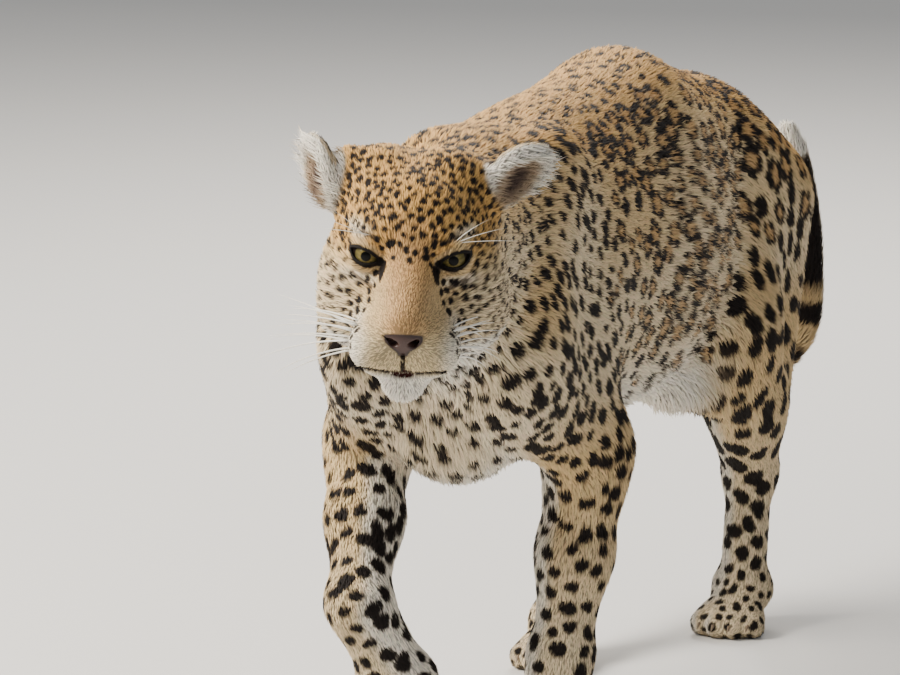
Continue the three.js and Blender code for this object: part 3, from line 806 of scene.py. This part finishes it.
def place_marks(points, normals, lie, parts):
    """Balls of the dark marks and of the tan centres of rosettes: places and radii."""
    spacing, size, ring = mark_plan(points, normals, parts)
    dark, hearts = [], []
    for i in scatter(points, spacing):
        along = unit(lie[i] - (lie[i] @ normals[i]) * normals[i])
        side = np.cross(normals[i], along)
        r = size[i] * rng.uniform(0.8, 1.2)
        if rng.random() < ring[i]:
            start, count = rng.uniform(0, 2 * math.pi), int(rng.integers(3, 6))
            hearts.append((*points[i], HEART_SIZE * r))
            for k in range(count):
                span = 2 * math.pi / count * rng.uniform(0.25, 0.5)
                for share in np.linspace(-0.5, 0.5, BALLS):
                    turn = start + k * 2 * math.pi / count + share * span
                    out = r * rng.uniform(*ARC_OUT)
                    spot = points[i] + out * (1.12 * math.cos(turn) * along + math.sin(turn) * side)
                    dark.append((*spot, ARC_BALL * r * rng.uniform(0.8, 1.2)))
        else:
            bars = 0.0
            if parts[i, FORELEGS].sum() > 0.5 and BAR_LOW < points[i, 2] < BAR_HIGH:
                bars = 0.4 * ramp(-normals[i, 1], 0.2, 0.7)
            for _ in range(BALLS):
                a, b = rng.normal(size=2) * r * SPOT_SPREAD
                spot = points[i] + a * (1.3 - bars) * along + b * (1 + 1.6 * bars) * side
                dark.append((*spot, SPOT_BALL * r * rng.uniform(0.75, 1.05) * (1 - 0.3 * bars)))
    return np.array(dark), np.array(hearts)


def ball_tree(balls):
    tree = kdtree.KDTree(len(balls))
    for i, ball in enumerate(balls):
        tree.insert(ball[:3], i)
    tree.balance()
    return tree


def nearest_edge(p, tree, radii, count):
    """Distance to the edge of the nearest ball, below zero in it."""
    find = tree.find_n
    return np.array([min(gap - radii[i] for _, i, gap in find(point, count)) for point in p.tolist()])


# Dark lines of the face, on its left half: mouth, tear line, outer corner of the eye
FACE_LINES = [
    *[(capsule(a, b, 3.0), 0.95) for a, b in zip(LIP_PATH, LIP_PATH[1:])],
    (capsule(*PHILTRUM, 2.0), 0.95),
    (capsule(on_face(0, -58.5), on_face(7, -58), 3.6), 0.9),
    (capsule((24, -86, 21), (20, -96, 10), 5.2), 0.95),
    (capsule((20, -96, 10), (17, -106, -4), 3.0), 0.8),
    (capsule((55, -70, 40), (68, -48, 42), 2.4), 0.8),
    (capsule((34, -83, 2), (52, -70, 10), 1.9), 0.5),
    (capsule((28, -84, 48), (50, -70, 52), 2.0), 0.6),
]
LIPS = len(LIP_PATH) + 1  # the first of them, where no hair grows
WHISKER_ROWS = [(-22, -134), (-29, -137), (-36, -138), (-43, -136)]  # height, and place of the first
WHISKER_STEP = 8.5
WHISKERS_A_ROW = 5
WHISKER_X = 42  # sideways place of their roots
WHISKER_REACH = (74, 112)
LEFT_REACH = 0.66  # the left side's are shorter by this
WHISKER_R, BROW_R = 0.95, 0.38
BROW_HAIRS = 3
CLAW_R = 2.3


def whisker_spots():
    for row, (z, y) in enumerate(WHISKER_ROWS):
        for k in range(WHISKERS_A_ROW):
            yield y + k * WHISKER_STEP + 4.2 * (row % 2), z - 0.8 * k + 1.2 * (k % 2)


def nose_edge(h):
    """Distance to the edge of the bare nose, below zero on it."""
    ax = np.abs(h[:, 0])
    half = 4.5 + 13.0 * ramp(h[:, 2], -37, -22)
    top = NOSE_TOP - 0.008 * ax**2
    return np.maximum.reduce([ax - half, h[:, 2] - top, NOSE_BOTTOM - h[:, 2], h[:, 1] - NOSE_BACK])


def ear_frame(h, side):
    """An ear's turn, places in its frame (-Y out of the cup, Z to the tip), and how far out they are."""
    place, turn = EARS[side]
    turned = cup_spin(*turn)
    q = (h - place) @ turned
    return turned, q, norm(q / EAR_SPAN)


def paint_head(dark, h, hn):
    """Colours of the head, and its dark marks added to those that are there."""
    ax, y, z = np.abs(h[:, 0]), h[:, 1], h[:, 2]
    c = mix(GOLD, TAN, ramp(z, 40, 5))
    for colour, share in [(BUFF, 0.9 * ramp(ax, 38, 62) * ramp(z, 40, -10)),
                          (BRIDGE, 0.8 * ramp(ax, 30, 8) * ramp(y, -60, -92)),
                          (MUZZLE, ramp(y, -100, -118) * ramp(z, -10, -30)),
                          (WHITE, 0.8 * ramp(ax, 26, 46) * ramp(y, -70, -95) * ramp(z, 0, -30)),
                          (WHITE, ramp(z, -52, -64))]:
        c = mix(c, colour, share)
    for side in (1, -1):
        centre, _ = eye_frame(side)
        q = h - centre
        below = norm((q - (4 * side, 0, -21)) / (20, 30, 6.5))
        above = norm((q - (11 * side, 2, 21)) / (15, 30, 7))
        c = mix(c, WHITE, 0.5 * ramp(below, 1.35, 0.5))
        c = mix(c, WHITE, 0.6 * ramp(above, 1.4, 0.5))
        edge, _ = eye_opening(h, side)
        rim = (norm(q) < EYE_REACH) & (y < centre[1])
        liner = 3.4 + 2.2 * ramp(q[:, 2], 2, -5) * ramp(q[:, 0] * side, 14, -6)
        dark = np.maximum(dark, rim * ramp(edge - liner, 0.8, -0.8))
        c = mix(c, BUFF, rim * ramp(edge, 10, 6) * 0.5)
    half = mirrored_head(h)
    for shape, strength in FACE_LINES:
        dark = np.maximum(dark, strength * ramp(shape(half), 0.9, -0.6) * (y < -40))
    for wy, wz in whisker_spots():
        gap = np.hypot(y - wy, z - wz)
        dark = np.maximum(dark, 0.9 * ramp(gap, 3.5, 2.2) * (ax > 14) * (y < -90))
    for side in (1, -1):
        turned, q, reach = ear_frame(h, side)
        ear = ramp(reach, 1.1, 0.9)
        rear = ramp(hn @ turned[:, 1], 0.1, 0.45)
        pale = rear * ramp(np.abs(q[:, 2] - 8), 14, 9)
        from_middle = np.hypot(q[:, 0] / 28, (q[:, 2] + 7) / 40)
        black = ear * rear * ramp(q[:, 2], -22, -12) * (1 - pale) * ramp(from_middle, 1.05, 0.9)
        c = mix(c, BUFF, ear * rear)
        cup = mix(EAR_SKIN, EAR_FUR, ramp(from_middle, 0.2, 0.55))
        c = mix(c, cup, ear * (1 - rear))
        c = mix(c, WHITE, ear * (1 - rear) * ramp(from_middle, 0.55, 0.85))
        dark = np.maximum(dark * (1 - ear), black)
    return c, dark


def paint(p, normal, parts):
    """The coat's own colour at each point, and how dark the mark there is."""
    part = {name: parts[:, i] for i, name in enumerate(PARTS)}
    up = normal[:, 2] + 0.25 * wobble(p, 160, 3)
    c = mix(GOLD, TAN, ramp(up, 0.8, 0.35))
    c = mix(c, BUFF, ramp(up, 0.4, 0.0))
    c = mix(c, WHITE, ramp(up, -0.2, -0.75))
    front = part["chest"] + part["neck"] + part["fore_left"] + part["fore_right"]
    c = mix(c, BUFF, 0.7 * np.minimum(front, 1) * ramp(-normal[:, 1], 0.3, 0.8) * (up < 0.5))
    for name, (_, side) in LEGS.items():
        inner = ramp(-normal[:, 0] * side, 0.1, 0.6)
        low = ramp(p[:, 2], 420, 330)
        c = mix(c, mix(TAN, BUFF, ramp(p[:, 2], 330, 120)), part[name] * low)
        c = mix(c, WHITE, part[name] * inner * low * 0.9)
    fringe = fringe_share(p)
    c = mix(c, WHITE, 0.9 * fringe)
    share = tail_share(p, part["tail"])
    tail = ramp(part["tail"], 0.4, 0.8)
    c = mix(c, TAN, tail)
    c = mix(c, WHITE, tail * ramp(share, *PALE_FROM) * ramp(normal[:, 1], -0.1, 0.5))
    tip = ramp(share, *TIP_FROM)
    c = mix(c, WHITE, tail * tip)
    shifted = p + 1.2 * np.stack([wobble(p, 13, seed) for seed in (11, 12, 13)], axis=1)
    dark = ramp(nearest_edge(shifted, DARK_TREE, DARK_R, 4), 0.9, -0.9)
    dark *= 1 - 0.85 * fringe
    heart = ramp(nearest_edge(shifted, HEART_TREE, HEART_R, 1), 1.5, -1.5)
    c = mix(c, ROSETTE, 0.55 * heart)
    bands = ramp(np.sin(share * 95 + 0.8 * wobble(p, 30, 5)), -0.1, 0.35)
    fore_side = ramp(normal[:, 1], 0.5, -0.1)
    dark = np.maximum(dark, tail * ramp(share, *BANDS_FROM) * bands * np.maximum(fore_side, 0.25))
    dark = np.maximum(dark, tail * ramp(share, *BLACK_FROM) * fore_side) * (1 - tail * tip)
    head = ramp(part["head"], 0.45, 0.7)
    hc, hd = paint_head(dark, to_head(p), normal @ HEAD_SPIN)
    return mix(c, hc, head), dark * (1 - head) + hd * head


def bare_share(p, normal):
    """1 where no hair grows: in the lids, on the nose and lips, under the feet."""
    h = to_head(p)
    bare = ramp(nose_edge(h), 0.8, -0.4)
    half = mirrored_head(h)
    for shape, _ in FACE_LINES[:LIPS]:
        bare = np.maximum(bare, ramp(shape(half), 0.2, -1.0) * (h[:, 1] < -40))
    for side in (1, -1):
        centre, _ = eye_frame(side)
        edge, _ = eye_opening(h, side)
        near = (norm(h - centre) < EYE_REACH) & (h[:, 1] < centre[1])
        bare = np.maximum(bare, near * ramp(edge, 2.4, 1.6))
    for leg, side in LEGS.values():
        balls, sole = pads_of(leg, side)
        for centre, radius in balls:
            gap = norm(p - centre) - radius
            bare = np.maximum(bare, ramp(gap, 1.2, 0.2) * ramp(normal @ sole, 0.2, 0.5))
    return bare


def make_skin():
    low, high = np.array([-172.0, -735, -8]), np.array([186.0, 670, 732])
    points, tris = trace(low, high, SKIN_CELL)
    points, tris = refine(settle(points, 2), tris)
    points = relax(points, tris)
    return points, tris


def to_frame(p):
    return p * MM + SHIFT


def new_object(name, points, faces, colours, material):
    """A smooth mesh in the frame, with its colours, riding on the body."""
    colours = np.broadcast_to(colours, points.shape)
    mesh = bpy.data.meshes.new(name)
    mesh.vertices.add(len(points))
    mesh.vertices.foreach_set("co", to_frame(points).ravel())
    mesh.loops.add(faces.size)
    mesh.loops.foreach_set("vertex_index", faces.ravel())
    mesh.polygons.add(len(faces))
    mesh.polygons.foreach_set("loop_start", np.arange(0, faces.size, faces.shape[1]))
    mesh.update(calc_edges=True)
    mesh.polygons.foreach_set("use_smooth", np.ones(len(faces), bool))
    layer = mesh.color_attributes.new("Tone", "FLOAT_COLOR", "POINT")
    layer.data.foreach_set("color", np.column_stack([colours, np.ones(len(colours))]).ravel())
    mesh.materials.append(material)
    piece = bpy.data.objects.new(name, mesh)
    bpy.context.scene.collection.objects.link(piece)
    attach(piece, "root")
    return piece


def sow(points, tris, density):
    """Places on the triangles, as triangle numbers and corner weights. Density is per square mm."""
    a, b, c = (points[tris[:, i]] for i in range(3))
    area = norm(np.cross(b - a, c - a)) / 2
    run = np.cumsum(area * density[tris].mean(axis=1))
    count = int(run[-1])
    at = (np.arange(count) + rng.uniform(0, 1, count)) * run[-1] / count
    which = np.minimum(np.searchsorted(run, at), len(tris) - 1)
    u, v = rng.uniform(0, 1, (2, count))
    flip = u + v > 1
    u, v = np.where(flip, 1 - u, u), np.where(flip, 1 - v, v)
    return which, np.stack([1 - u - v, u, v], axis=1)


# A tuft is a thin blade with a ridge: root, left, right and top of its widest place, and tip
TUFT_FACES = np.array([(3, 2, 4), (1, 3, 4), (2, 1, 4), (2, 3, 0), (3, 1, 0), (1, 2, 0)])
TUFT_MAP = np.array([(0.5, 0.0), (0.0, 0.4), (1.0, 0.4), (0.5, 0.5), (0.5, 1.0)])
# Brightness of each corner: painted shade darkens the root, where the tufts cover one another, and the tip
# is a little paler
TUFT_ROOT_SHADE_AND_TONE = np.array([0.55, 0.95, 0.95, 1.0, 1.12])


WILDNESS = 0.16  # how far tufts stray sideways from the lie
BEND = 0.72  # share of a tuft's lift that is left at its tip


def grow(root, normal, lie, length, width, lift):
    """Points and normals of the tufts, five for each."""
    count = len(root)
    flat = unit(lie - np.sum(lie * normal, axis=1)[:, None] * normal)
    side = np.cross(normal, flat)
    flat = unit(flat + side * rng.normal(0, WILDNESS, count)[:, None])
    side = np.cross(normal, flat)
    length = length * rng.uniform(0.72, 1.22, count)
    width = width * rng.uniform(0.75, 1.25, count)
    lift = np.radians(lift * rng.uniform(0.55, 1.35, count))
    rise = np.cos(lift)[:, None] * flat + np.sin(lift)[:, None] * normal
    settled = np.cos(BEND * lift)[:, None] * flat + np.sin(BEND * lift)[:, None] * normal
    waist = root + rise * (0.36 * length)[:, None]
    half = (0.5 * width)[:, None]
    corners = [root - normal * (0.5 * half), waist + side * half, waist - side * half,
               waist + normal * (0.55 * half), root + settled * length[:, None]]
    shade = [normal, unit(normal + 0.55 * side), unit(normal - 0.55 * side), normal,
             unit(normal + 0.3 * flat)]
    return np.stack(corners, axis=1), np.stack(shade, axis=1)


# The middle line of each part, for its unwrap
PART_LINES = {
    "neck": [(0, -280, 560), (40, -540, 560)],
    "chest": [(0, -420, 480), (0, 10, 480)],
    "rump": [(0, -20, 480), (0, 450, 480)],
    "tail": TAIL_PATH,
    **{name: [leg[key] for key in (("blade", "shoulder", "elbow", "wrist", "knuckle", "toe")
                                   if "wrist" in leg else ("hip", "stifle", "hock", "knuckle", "toe"))]
       for name, (leg, _) in LEGS.items()},
}


def unwrap(p, part):
    """Place of each point on an unwrap of its part of the skin."""
    if part == "head":
        h = to_head(p) - (0, 10, 0)
        away = np.arccos(np.clip(-unit(h)[:, 1], -1, 1)) / math.pi
        turn = np.arctan2(h[:, 0], h[:, 2])
        return np.stack([away * np.sin(turn), away * np.cos(turn)], axis=1)
    line = np.array(PART_LINES[part], float)
    run = np.concatenate([[0], np.cumsum(norm(np.diff(line, axis=0)))])
    at = np.linspace(0, run[-1], 80)
    spots = np.stack([np.interp(at, run, line[:, axis]) for axis in range(3)], axis=1)
    ways = unit(np.gradient(spots, axis=0))
    nearest = np.concatenate([norm(part_p[:, None] - spots).argmin(axis=1)
                              for part_p in np.array_split(p, 1 + len(p) // 20000)])
    way = ways[nearest]
    aside = np.array([1.0, 0, 0]) if part in ("tail", *LEGS) else np.array([0, 0, 1.0])
    q = p - spots[nearest]
    other = unit(np.cross(way, aside))
    turn = np.arctan2(np.sum(q * other, axis=1), q @ aside)
    along = at[nearest] + np.sum(q * way, axis=1)
    return np.stack([turn / math.pi, 2 * along / run[-1]], axis=1)


def make_coat(corners, shade, colours, part, roots):
    """Coat pieces of one part, each with its own map."""
    places = unwrap(roots, part)
    pieces = max(1, math.ceil(len(roots) / TUFTS_A_PIECE))
    order = np.argsort(places[:, 1], kind="stable")
    for number, chosen in enumerate(np.array_split(order, pieces)):
        uv = places[chosen]
        uv = (uv - uv.min(axis=0)) / np.ptp(uv, axis=0) * (0.99 - PATCH) + 0.005
        faces = (TUFT_FACES[None] + 5 * np.arange(len(chosen))[:, None, None]).reshape(-1, 3)
        piece = new_object(f"coat_{part}_{number + 1}", corners[chosen].reshape(-1, 3), faces,
                           colours[chosen].reshape(-1, 3), COAT)
        layer = piece.data.uv_layers.new(name="OFBake")
        spread = (uv[:, None] + PATCH * TUFT_MAP[None]).reshape(-1, 2)
        layer.data.foreach_set("uv", spread[faces.ravel()].ravel())
        piece.data.normals_split_custom_set_from_vertices(shade[chosen].reshape(-1, 3))


def tone_material(name, roughness, **numbers):
    """A material that takes its colour from the mesh."""
    made = bpy.data.materials.new(name)
    made.use_nodes = True
    shader = made.node_tree.nodes["Principled BSDF"]
    shader.inputs["Roughness"].default_value = roughness
    for key, value in numbers.items():
        shader.inputs[key.replace("_", " ")].default_value = value
    tone = made.node_tree.nodes.new("ShaderNodeAttribute")
    tone.attribute_name = "Tone"
    made.node_tree.links.new(tone.outputs["Color"], shader.inputs["Base Color"])
    return made, shader


def add_bump(made, shader, scale, strength, distance):
    """Fine relief from noise."""
    nodes, links = made.node_tree.nodes, made.node_tree.links
    where = nodes.new("ShaderNodeTexCoord")
    noise = nodes.new("ShaderNodeTexNoise")
    noise.inputs["Scale"].default_value = scale
    noise.inputs["Detail"].default_value = 3
    bump = nodes.new("ShaderNodeBump")
    bump.inputs["Strength"].default_value = strength
    bump.inputs["Distance"].default_value = distance
    links.new(where.outputs["Object"], noise.inputs["Vector"])
    links.new(noise.outputs["Fac"], bump.inputs["Height"])
    links.new(bump.outputs["Normal"], shader.inputs["Normal"])


def lathe_faces(rings, sides):
    """Triangles over rings of points, closed by the two points that come after them."""
    i = np.arange(sides)
    j = (i + 1) % sides
    last, first = (rings - 1) * sides, rings * sides
    faces = [np.stack([np.full(sides, first), j, i], 1),
             np.stack([last + i, last + j, np.full(sides, first + 1)], 1)]
    for a in range(0, last, sides):
        b = a + sides
        faces += [np.stack([a + i, a + j, b + j], 1), np.stack([a + i, b + j, b + i], 1)]
    return np.vstack(faces)


def make_eye(side):
    """An eyeball with a bulging front, iris and round pupil."""
    centre, _ = eye_frame(side)
    rings, turns, ball, bulge = 59, 72, EYE_R - 0.3, 1.5
    polar = math.pi * np.linspace(0, 1, rings + 2)[1:-1, None] * np.ones((1, turns))
    around = 2 * math.pi * np.arange(turns)[None] / turns * np.ones((rings, 1))
    radius = ball + bulge * ramp(np.degrees(polar), 46, 12)
    local = np.stack([radius * np.sin(polar) * np.cos(around), -radius * np.cos(polar),
                      radius * np.sin(polar) * np.sin(around)], axis=-1).reshape(-1, 3)
    local = np.vstack([local, [[0, -ball - bulge, 0], [0, ball, 0]]])

    degrees = np.concatenate([np.degrees(polar).ravel(), [0, 180]])
    angle = np.concatenate([around.ravel(), [0, 0]])
    streak = np.sin(angle * 37) * 0.5 + np.sin(angle * 61 + 1.3) * 0.5
    iris = mix(IRIS_INNER, IRIS_OUTER, ramp(degrees, 18, 40))
    iris = iris * (1 + 0.16 * streak * ramp(degrees, 12, 24))[:, None]
    colour = mix(iris, EYE_RIM, ramp(degrees, 42, 48))
    colour = mix(PUPIL, colour, ramp(degrees, 16, 18))
    gaze = spin(0, 0, 7 * side) @ spin(-2, 0, 0)
    points = from_head(local @ gaze.T + centre)
    name = "eyeball_left" if side > 0 else "eyeball_right"
    eye = new_object(name, points, lathe_faces(rings, turns), linear(colour), EYE_MATERIAL)
    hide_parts("eye_left" if side > 0 else "eye_right")


def taper(path, radius, sides=5):
    """A closed rod along the path that ends in a point."""
    path = np.array(path, float)
    ways = unit(np.gradient(path, axis=0))
    aside = unit(np.cross(ways, (0.31, 0.17, 0.93)))
    other = np.cross(ways, aside)
    turn = 2 * math.pi * np.arange(sides) / sides
    widths = radius * (1 - np.linspace(0, 1, len(path)) ** 1.5 * 0.97)
    rings = path[:-1, None] + widths[:-1, None, None] * (
        np.cos(turn)[None, :, None] * aside[:-1, None] + np.sin(turn)[None, :, None] * other[:-1, None])
    points = np.vstack([rings.reshape(-1, 3), path[:1], path[-1:]])
    return points, lathe_faces(len(path) - 1, sides)


def join_parts(made):
    """Several (points, faces) as one."""
    faces, start = [], 0
    for points, own in made:
        faces.append(own + start)
        start += len(points)
    return np.vstack([points for points, _ in made]), np.vstack(faces)


def hair(h, place, way, reach, droop, radius, steps, sunk=0.0):
    """A long hair from the place on the skin nearest to this one, in the head's own frame."""
    root = h[np.argmin(norm(h - place))]
    t = np.linspace(0, 1, steps)[:, None]
    return taper(from_head(root - way * sunk + way * reach * t + droop * t**2), radius)


def make_whiskers(points):
    """Whiskers of the upper lip and brows. The first and last spots of a row carry none."""
    h = to_head(points)
    made = []
    for side in (1, -1):
        for n, (y, z) in enumerate(whisker_spots()):
            row, place = divmod(n, WHISKERS_A_ROW)
            if place in (0, 4) or (row == 3 and place == 3):
                continue
            reach = rng.uniform(*WHISKER_REACH) * (LEFT_REACH if side > 0 else 1)
            sweep = (1.0 if side > 0 else 0.12) + 0.2 * place
            way = unit(np.array([side * 1.0, sweep + rng.uniform(-0.1, 0.2),
                                 0.22 - 0.16 * row + rng.uniform(-0.16, 0.16)]))
            droop = np.array([-5 * side, 16, -26 * rng.uniform(0.5, 1.2)])
            made.append(hair(h, (WHISKER_X * side, y, z), way, reach, droop, WHISKER_R, 12, 1.5))
    for side in (1, -1):
        centre, _ = eye_frame(side)
        for k in range(BROW_HAIRS):
            way = unit(np.array([side * (0.6 + 0.2 * k), -0.25, 0.75 - 0.25 * k]))
            droop = np.array([6 * side, 16, -9])
            made.append(hair(h, centre + (6 * side + 3 * k, -14, 21), way, 40 + 6 * k, droop, BROW_R, 10))
    points, faces = join_parts(made)
    new_object("whiskers", points, faces, linear(WHISKER_WHITE), WHISKER)


def make_claws():
    """Tips of the drawn-in claws, one on each toe."""
    made = []
    for leg, side in LEGS.values():
        ahead = np.array(leg["ahead"], float)
        down = np.array([0, -0.35, -1]) if ahead[2] == 0 else np.array([0.2, 0.9, -0.4])
        for _, tip in toes(leg, side):
            t = np.linspace(0, 1, 6)[:, None]
            start = tip + ahead * 12.5 - down * 1.0 + (0, 0, 2)
            path = start + unit(ahead) * 8 * t + unit(down) * 6 * t**2
            made.append(taper(path, CLAW_R, 7))
    points, faces = join_parts(made)
    new_object("claws", points, faces, linear(HORN), CLAW)


eye_low, eye_high = (np.array(corner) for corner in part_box("eye_left"))
SHIFT = (eye_low + eye_high) / 2 - from_head(EYE) * MM

COAT, _ = tone_material("Coat hair", 0.72, Specular_IOR_Level=0.2)
SKIN, skin_shader = tone_material("Skin under the coat", 0.75, Specular_IOR_Level=0.2)
add_bump(SKIN, skin_shader, scale=420, strength=0.5, distance=0.0008)
NOSE_LEATHER, nose_shader = tone_material("Nose leather", 0.42)
add_bump(NOSE_LEATHER, nose_shader, scale=900, strength=0.4, distance=0.0006)
EYE_MATERIAL, _ = tone_material("Eye", 0.4, Specular_IOR_Level=0.05, Coat_Weight=0.35, Coat_Roughness=0.02,
                                Coat_IOR=1.33)
WHISKER, _ = tone_material("Whisker", 0.4)
CLAW, _ = tone_material("Claw", 0.35)

points, tris = make_skin()
normals = corner_normals(points, tris)
_, traits = read(points, 12, FIRST_PART - 1 + len(PARTS))
lie, parts = traits[:, LIE], traits[:, FIRST_PART:]
# On the head the hair runs away from the nose, and on the ears to their tips
local = to_head(points)
away = unit(unit(local - (0, -152, -22)) + (0, 0.35, 0))
for ear_side in (1, -1):
    turned, _, reach = ear_frame(local, ear_side)
    away = mix(away, turned[:, 2], ramp(reach, 1.15, 0.9))
lie = unit(mix(lie, away @ HEAD_SPIN.T, ramp(parts[:, 0], 0.35, 0.75)))
nose_gap = nose_edge(local)

dark_balls, heart_balls = place_marks(points, normals, lie, parts)
DARK_TREE, DARK_R = ball_tree(dark_balls), dark_balls[:, 3]
HEART_TREE, HEART_R = ball_tree(heart_balls), heart_balls[:, 3]

tone, dark = paint(points, normals, parts)
bare = bare_share(points, normals)
# The skin takes the coat's own colour and marks, darkened by painted shade under the coat
shaded = mix(tone, BLACK, dark) * SKIN_SHADE
skin_colour = linear(mix(shaded, PAD, bare * (local[:, 1] > -150)))
nose_colour = linear(NOSE) * (1 - 0.55 * ramp(nose_gap, -5, -0.5))[:, None]
skin_colour = mix(skin_colour, nose_colour, ramp(nose_gap, 0.6, -0.6))
in_mouth = ramp(norm((local - on_face(0, -58)) / (11, 12, 5)), 1.1, 0.8)
skin_colour = mix(skin_colour, linear(MOUTH), in_mouth)
on_nose = (nose_gap < 0.4)[tris].all(axis=1)
body_skin = new_object("skin", points, tris[~on_nose], skin_colour, SKIN)
nose = new_object("nose_pad", points, tris[on_nose], skin_colour, NOSE_LEATHER)
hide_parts("nose")
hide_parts(*[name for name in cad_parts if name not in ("nose", "eye_left", "eye_right")])

density = (1 - bare) / traits[:, SPACING] ** 2
which, weights = sow(points, tris, density)
if len(which) > MOST_TUFTS:
    which, weights = sow(points, tris, density * MOST_TUFTS / len(which))


def at_roots(values, which, weights):
    return np.einsum("ij,ijk->ik", weights, values[tris[which]])


def plant(which, weights, lie, hair_sizes=None):
    """Tufts at these places: corners, shading, colours, parts and roots."""
    root, normal, way, worn = (at_roots(v, which, weights) for v in (points, normals, lie, traits))
    normal = unit(normal)
    if hair_sizes is None:
        hair_sizes = worn[:, LENGTH], worn[:, WIDTH], worn[:, LIFT]
    corners, shade = grow(root, normal, way, *hair_sizes)
    corners[:, :, 2] = np.maximum(corners[:, :, 2], FLOOR_GAP)
    own_parts = worn[:, FIRST_PART:]
    vary = rng.normal(1, 0.09, len(root))[:, None] * (1 + rng.normal(0, 0.02, (len(root), 3)))
    ends = []
    for place in (corners[:, 3], 0.25 * corners[:, 0] + 0.75 * corners[:, 4]):
        on_skin = place - np.sum((place - root) * normal, axis=1)[:, None] * normal
        own_tone, own_dark = paint(on_skin, normal, own_parts)
        ends.append(np.clip(linear(mix(own_tone, BLACK, own_dark)) * vary, 0, 1))
    # Each tuft takes the colour at its widest place and near its tip, with painted shade darkening its root
    colour = np.stack([ends[0], ends[0], ends[0], ends[0], ends[1]], axis=1) * TUFT_ROOT_SHADE_AND_TONE[None, :, None]
    return corners, shade, colour, own_parts.argmax(axis=1), root


tufts = [plant(which, weights, lie)]
# Long pale hairs stand out of the ears
EAR_HAIR_GAP, EAR_HAIR_LENGTH, EAR_HAIR_WIDTH, EAR_HAIR_LIFT = 3.2, (9, 19), 1.1, 30
ear_front, ear_lean = np.zeros(len(points)), np.zeros((len(points), 3))
for ear_side in (1, -1):
    turned, _, reach = ear_frame(local, ear_side)
    near = reach < 1.05
    opens = (normals @ HEAD_SPIN @ turned)[:, 1] < 0.1
    ear_front = np.maximum(ear_front, near & opens)
    outward = unit(np.array([0.9 * ear_side, -0.8, 0.1]))
    ear_lean[near] = (HEAD_SPIN @ turned @ outward) * 1.3
which, weights = sow(points, tris, ear_front / EAR_HAIR_GAP**2)
ear_lengths = rng.uniform(*EAR_HAIR_LENGTH, len(which))
tufts.append(plant(which, weights, lie + ear_lean, (ear_lengths, EAR_HAIR_WIDTH, EAR_HAIR_LIFT)))
corners, shade, tuft_colour, owner, roots = (np.concatenate(rows) for rows in zip(*tufts))
for n, part_name in enumerate(PARTS):
    mine = owner == n
    make_coat(corners[mine], shade[mine], tuft_colour[mine], part_name, roots[mine])

for eye_side in (1, -1):
    make_eye(eye_side)
make_whiskers(points)
make_claws()


# Floor, light and the camera at the photograph's angle
def lamp(name, place, target, size, power, colour):
    data = bpy.data.lights.new(name, "AREA")
    data.size, data.energy, data.color = size, power, colour
    light = bpy.data.objects.new(name, data)
    light.location = place
    light.rotation_euler = (Vector(target) - Vector(place)).to_track_quat("-Z", "Y").to_euler()
    bpy.context.scene.collection.objects.link(light)


bpy.ops.mesh.primitive_plane_add(size=30)
floor = bpy.context.active_object
floor.name = "floor"
floor_material = bpy.data.materials.new("Floor")
floor_material.use_nodes = True
floor_shader = floor_material.node_tree.nodes["Principled BSDF"]
floor_shader.inputs["Base Color"].default_value = (0.72, 0.71, 0.69, 1)
floor_shader.inputs["Roughness"].default_value = 0.9
floor.data.materials.append(floor_material)

lamp("key", (-2.2, -1.6, 2.6), (0, -0.2, 0.4), size=1.6, power=290, colour=(1.0, 0.94, 0.85))
lamp("fill", (2.8, -1.9, 1.9), (0, -0.2, 0.4), size=2.2, power=20, colour=(0.90, 0.95, 1.0))
lamp("rim", (-0.6, 2.4, 2.4), (0, 0, 0.5), size=1.6, power=110, colour=(1.0, 0.94, 0.86))

world = bpy.data.worlds.new("Soft room")
bpy.context.scene.world = world
world.use_nodes = True
sky = world.node_tree.nodes["Background"].inputs
sky["Color"].default_value = (0.82, 0.86, 0.92, 1)
sky["Strength"].default_value = 0.33

VIEW_TURN, VIEW_RISE, VIEW_GAP = math.radians(21.523), math.radians(12.713), 6.0
VIEW_AT = (-98, -100, 400)  # the place in the middle of the picture
FRAME_WIDTH_PX = 900
FOCUS_PX = 5952
SENSOR_MM = 36
back = Vector((math.sin(VIEW_TURN) * math.cos(VIEW_RISE), -math.cos(VIEW_TURN) * math.cos(VIEW_RISE),
               math.sin(VIEW_RISE)))
camera_data = bpy.data.cameras.new("Photo camera")
camera_data.sensor_width = SENSOR_MM
camera_data.lens = FOCUS_PX * SENSOR_MM / FRAME_WIDTH_PX
camera_data.clip_end = 100
camera = bpy.data.objects.new("Photo camera", camera_data)
camera.location = Vector(to_frame(np.array(VIEW_AT))) + back * VIEW_GAP
camera.rotation_euler = (-back).to_track_quat("-Z", "Y").to_euler()
bpy.context.scene.collection.objects.link(camera)
bpy.context.scene.camera = camera
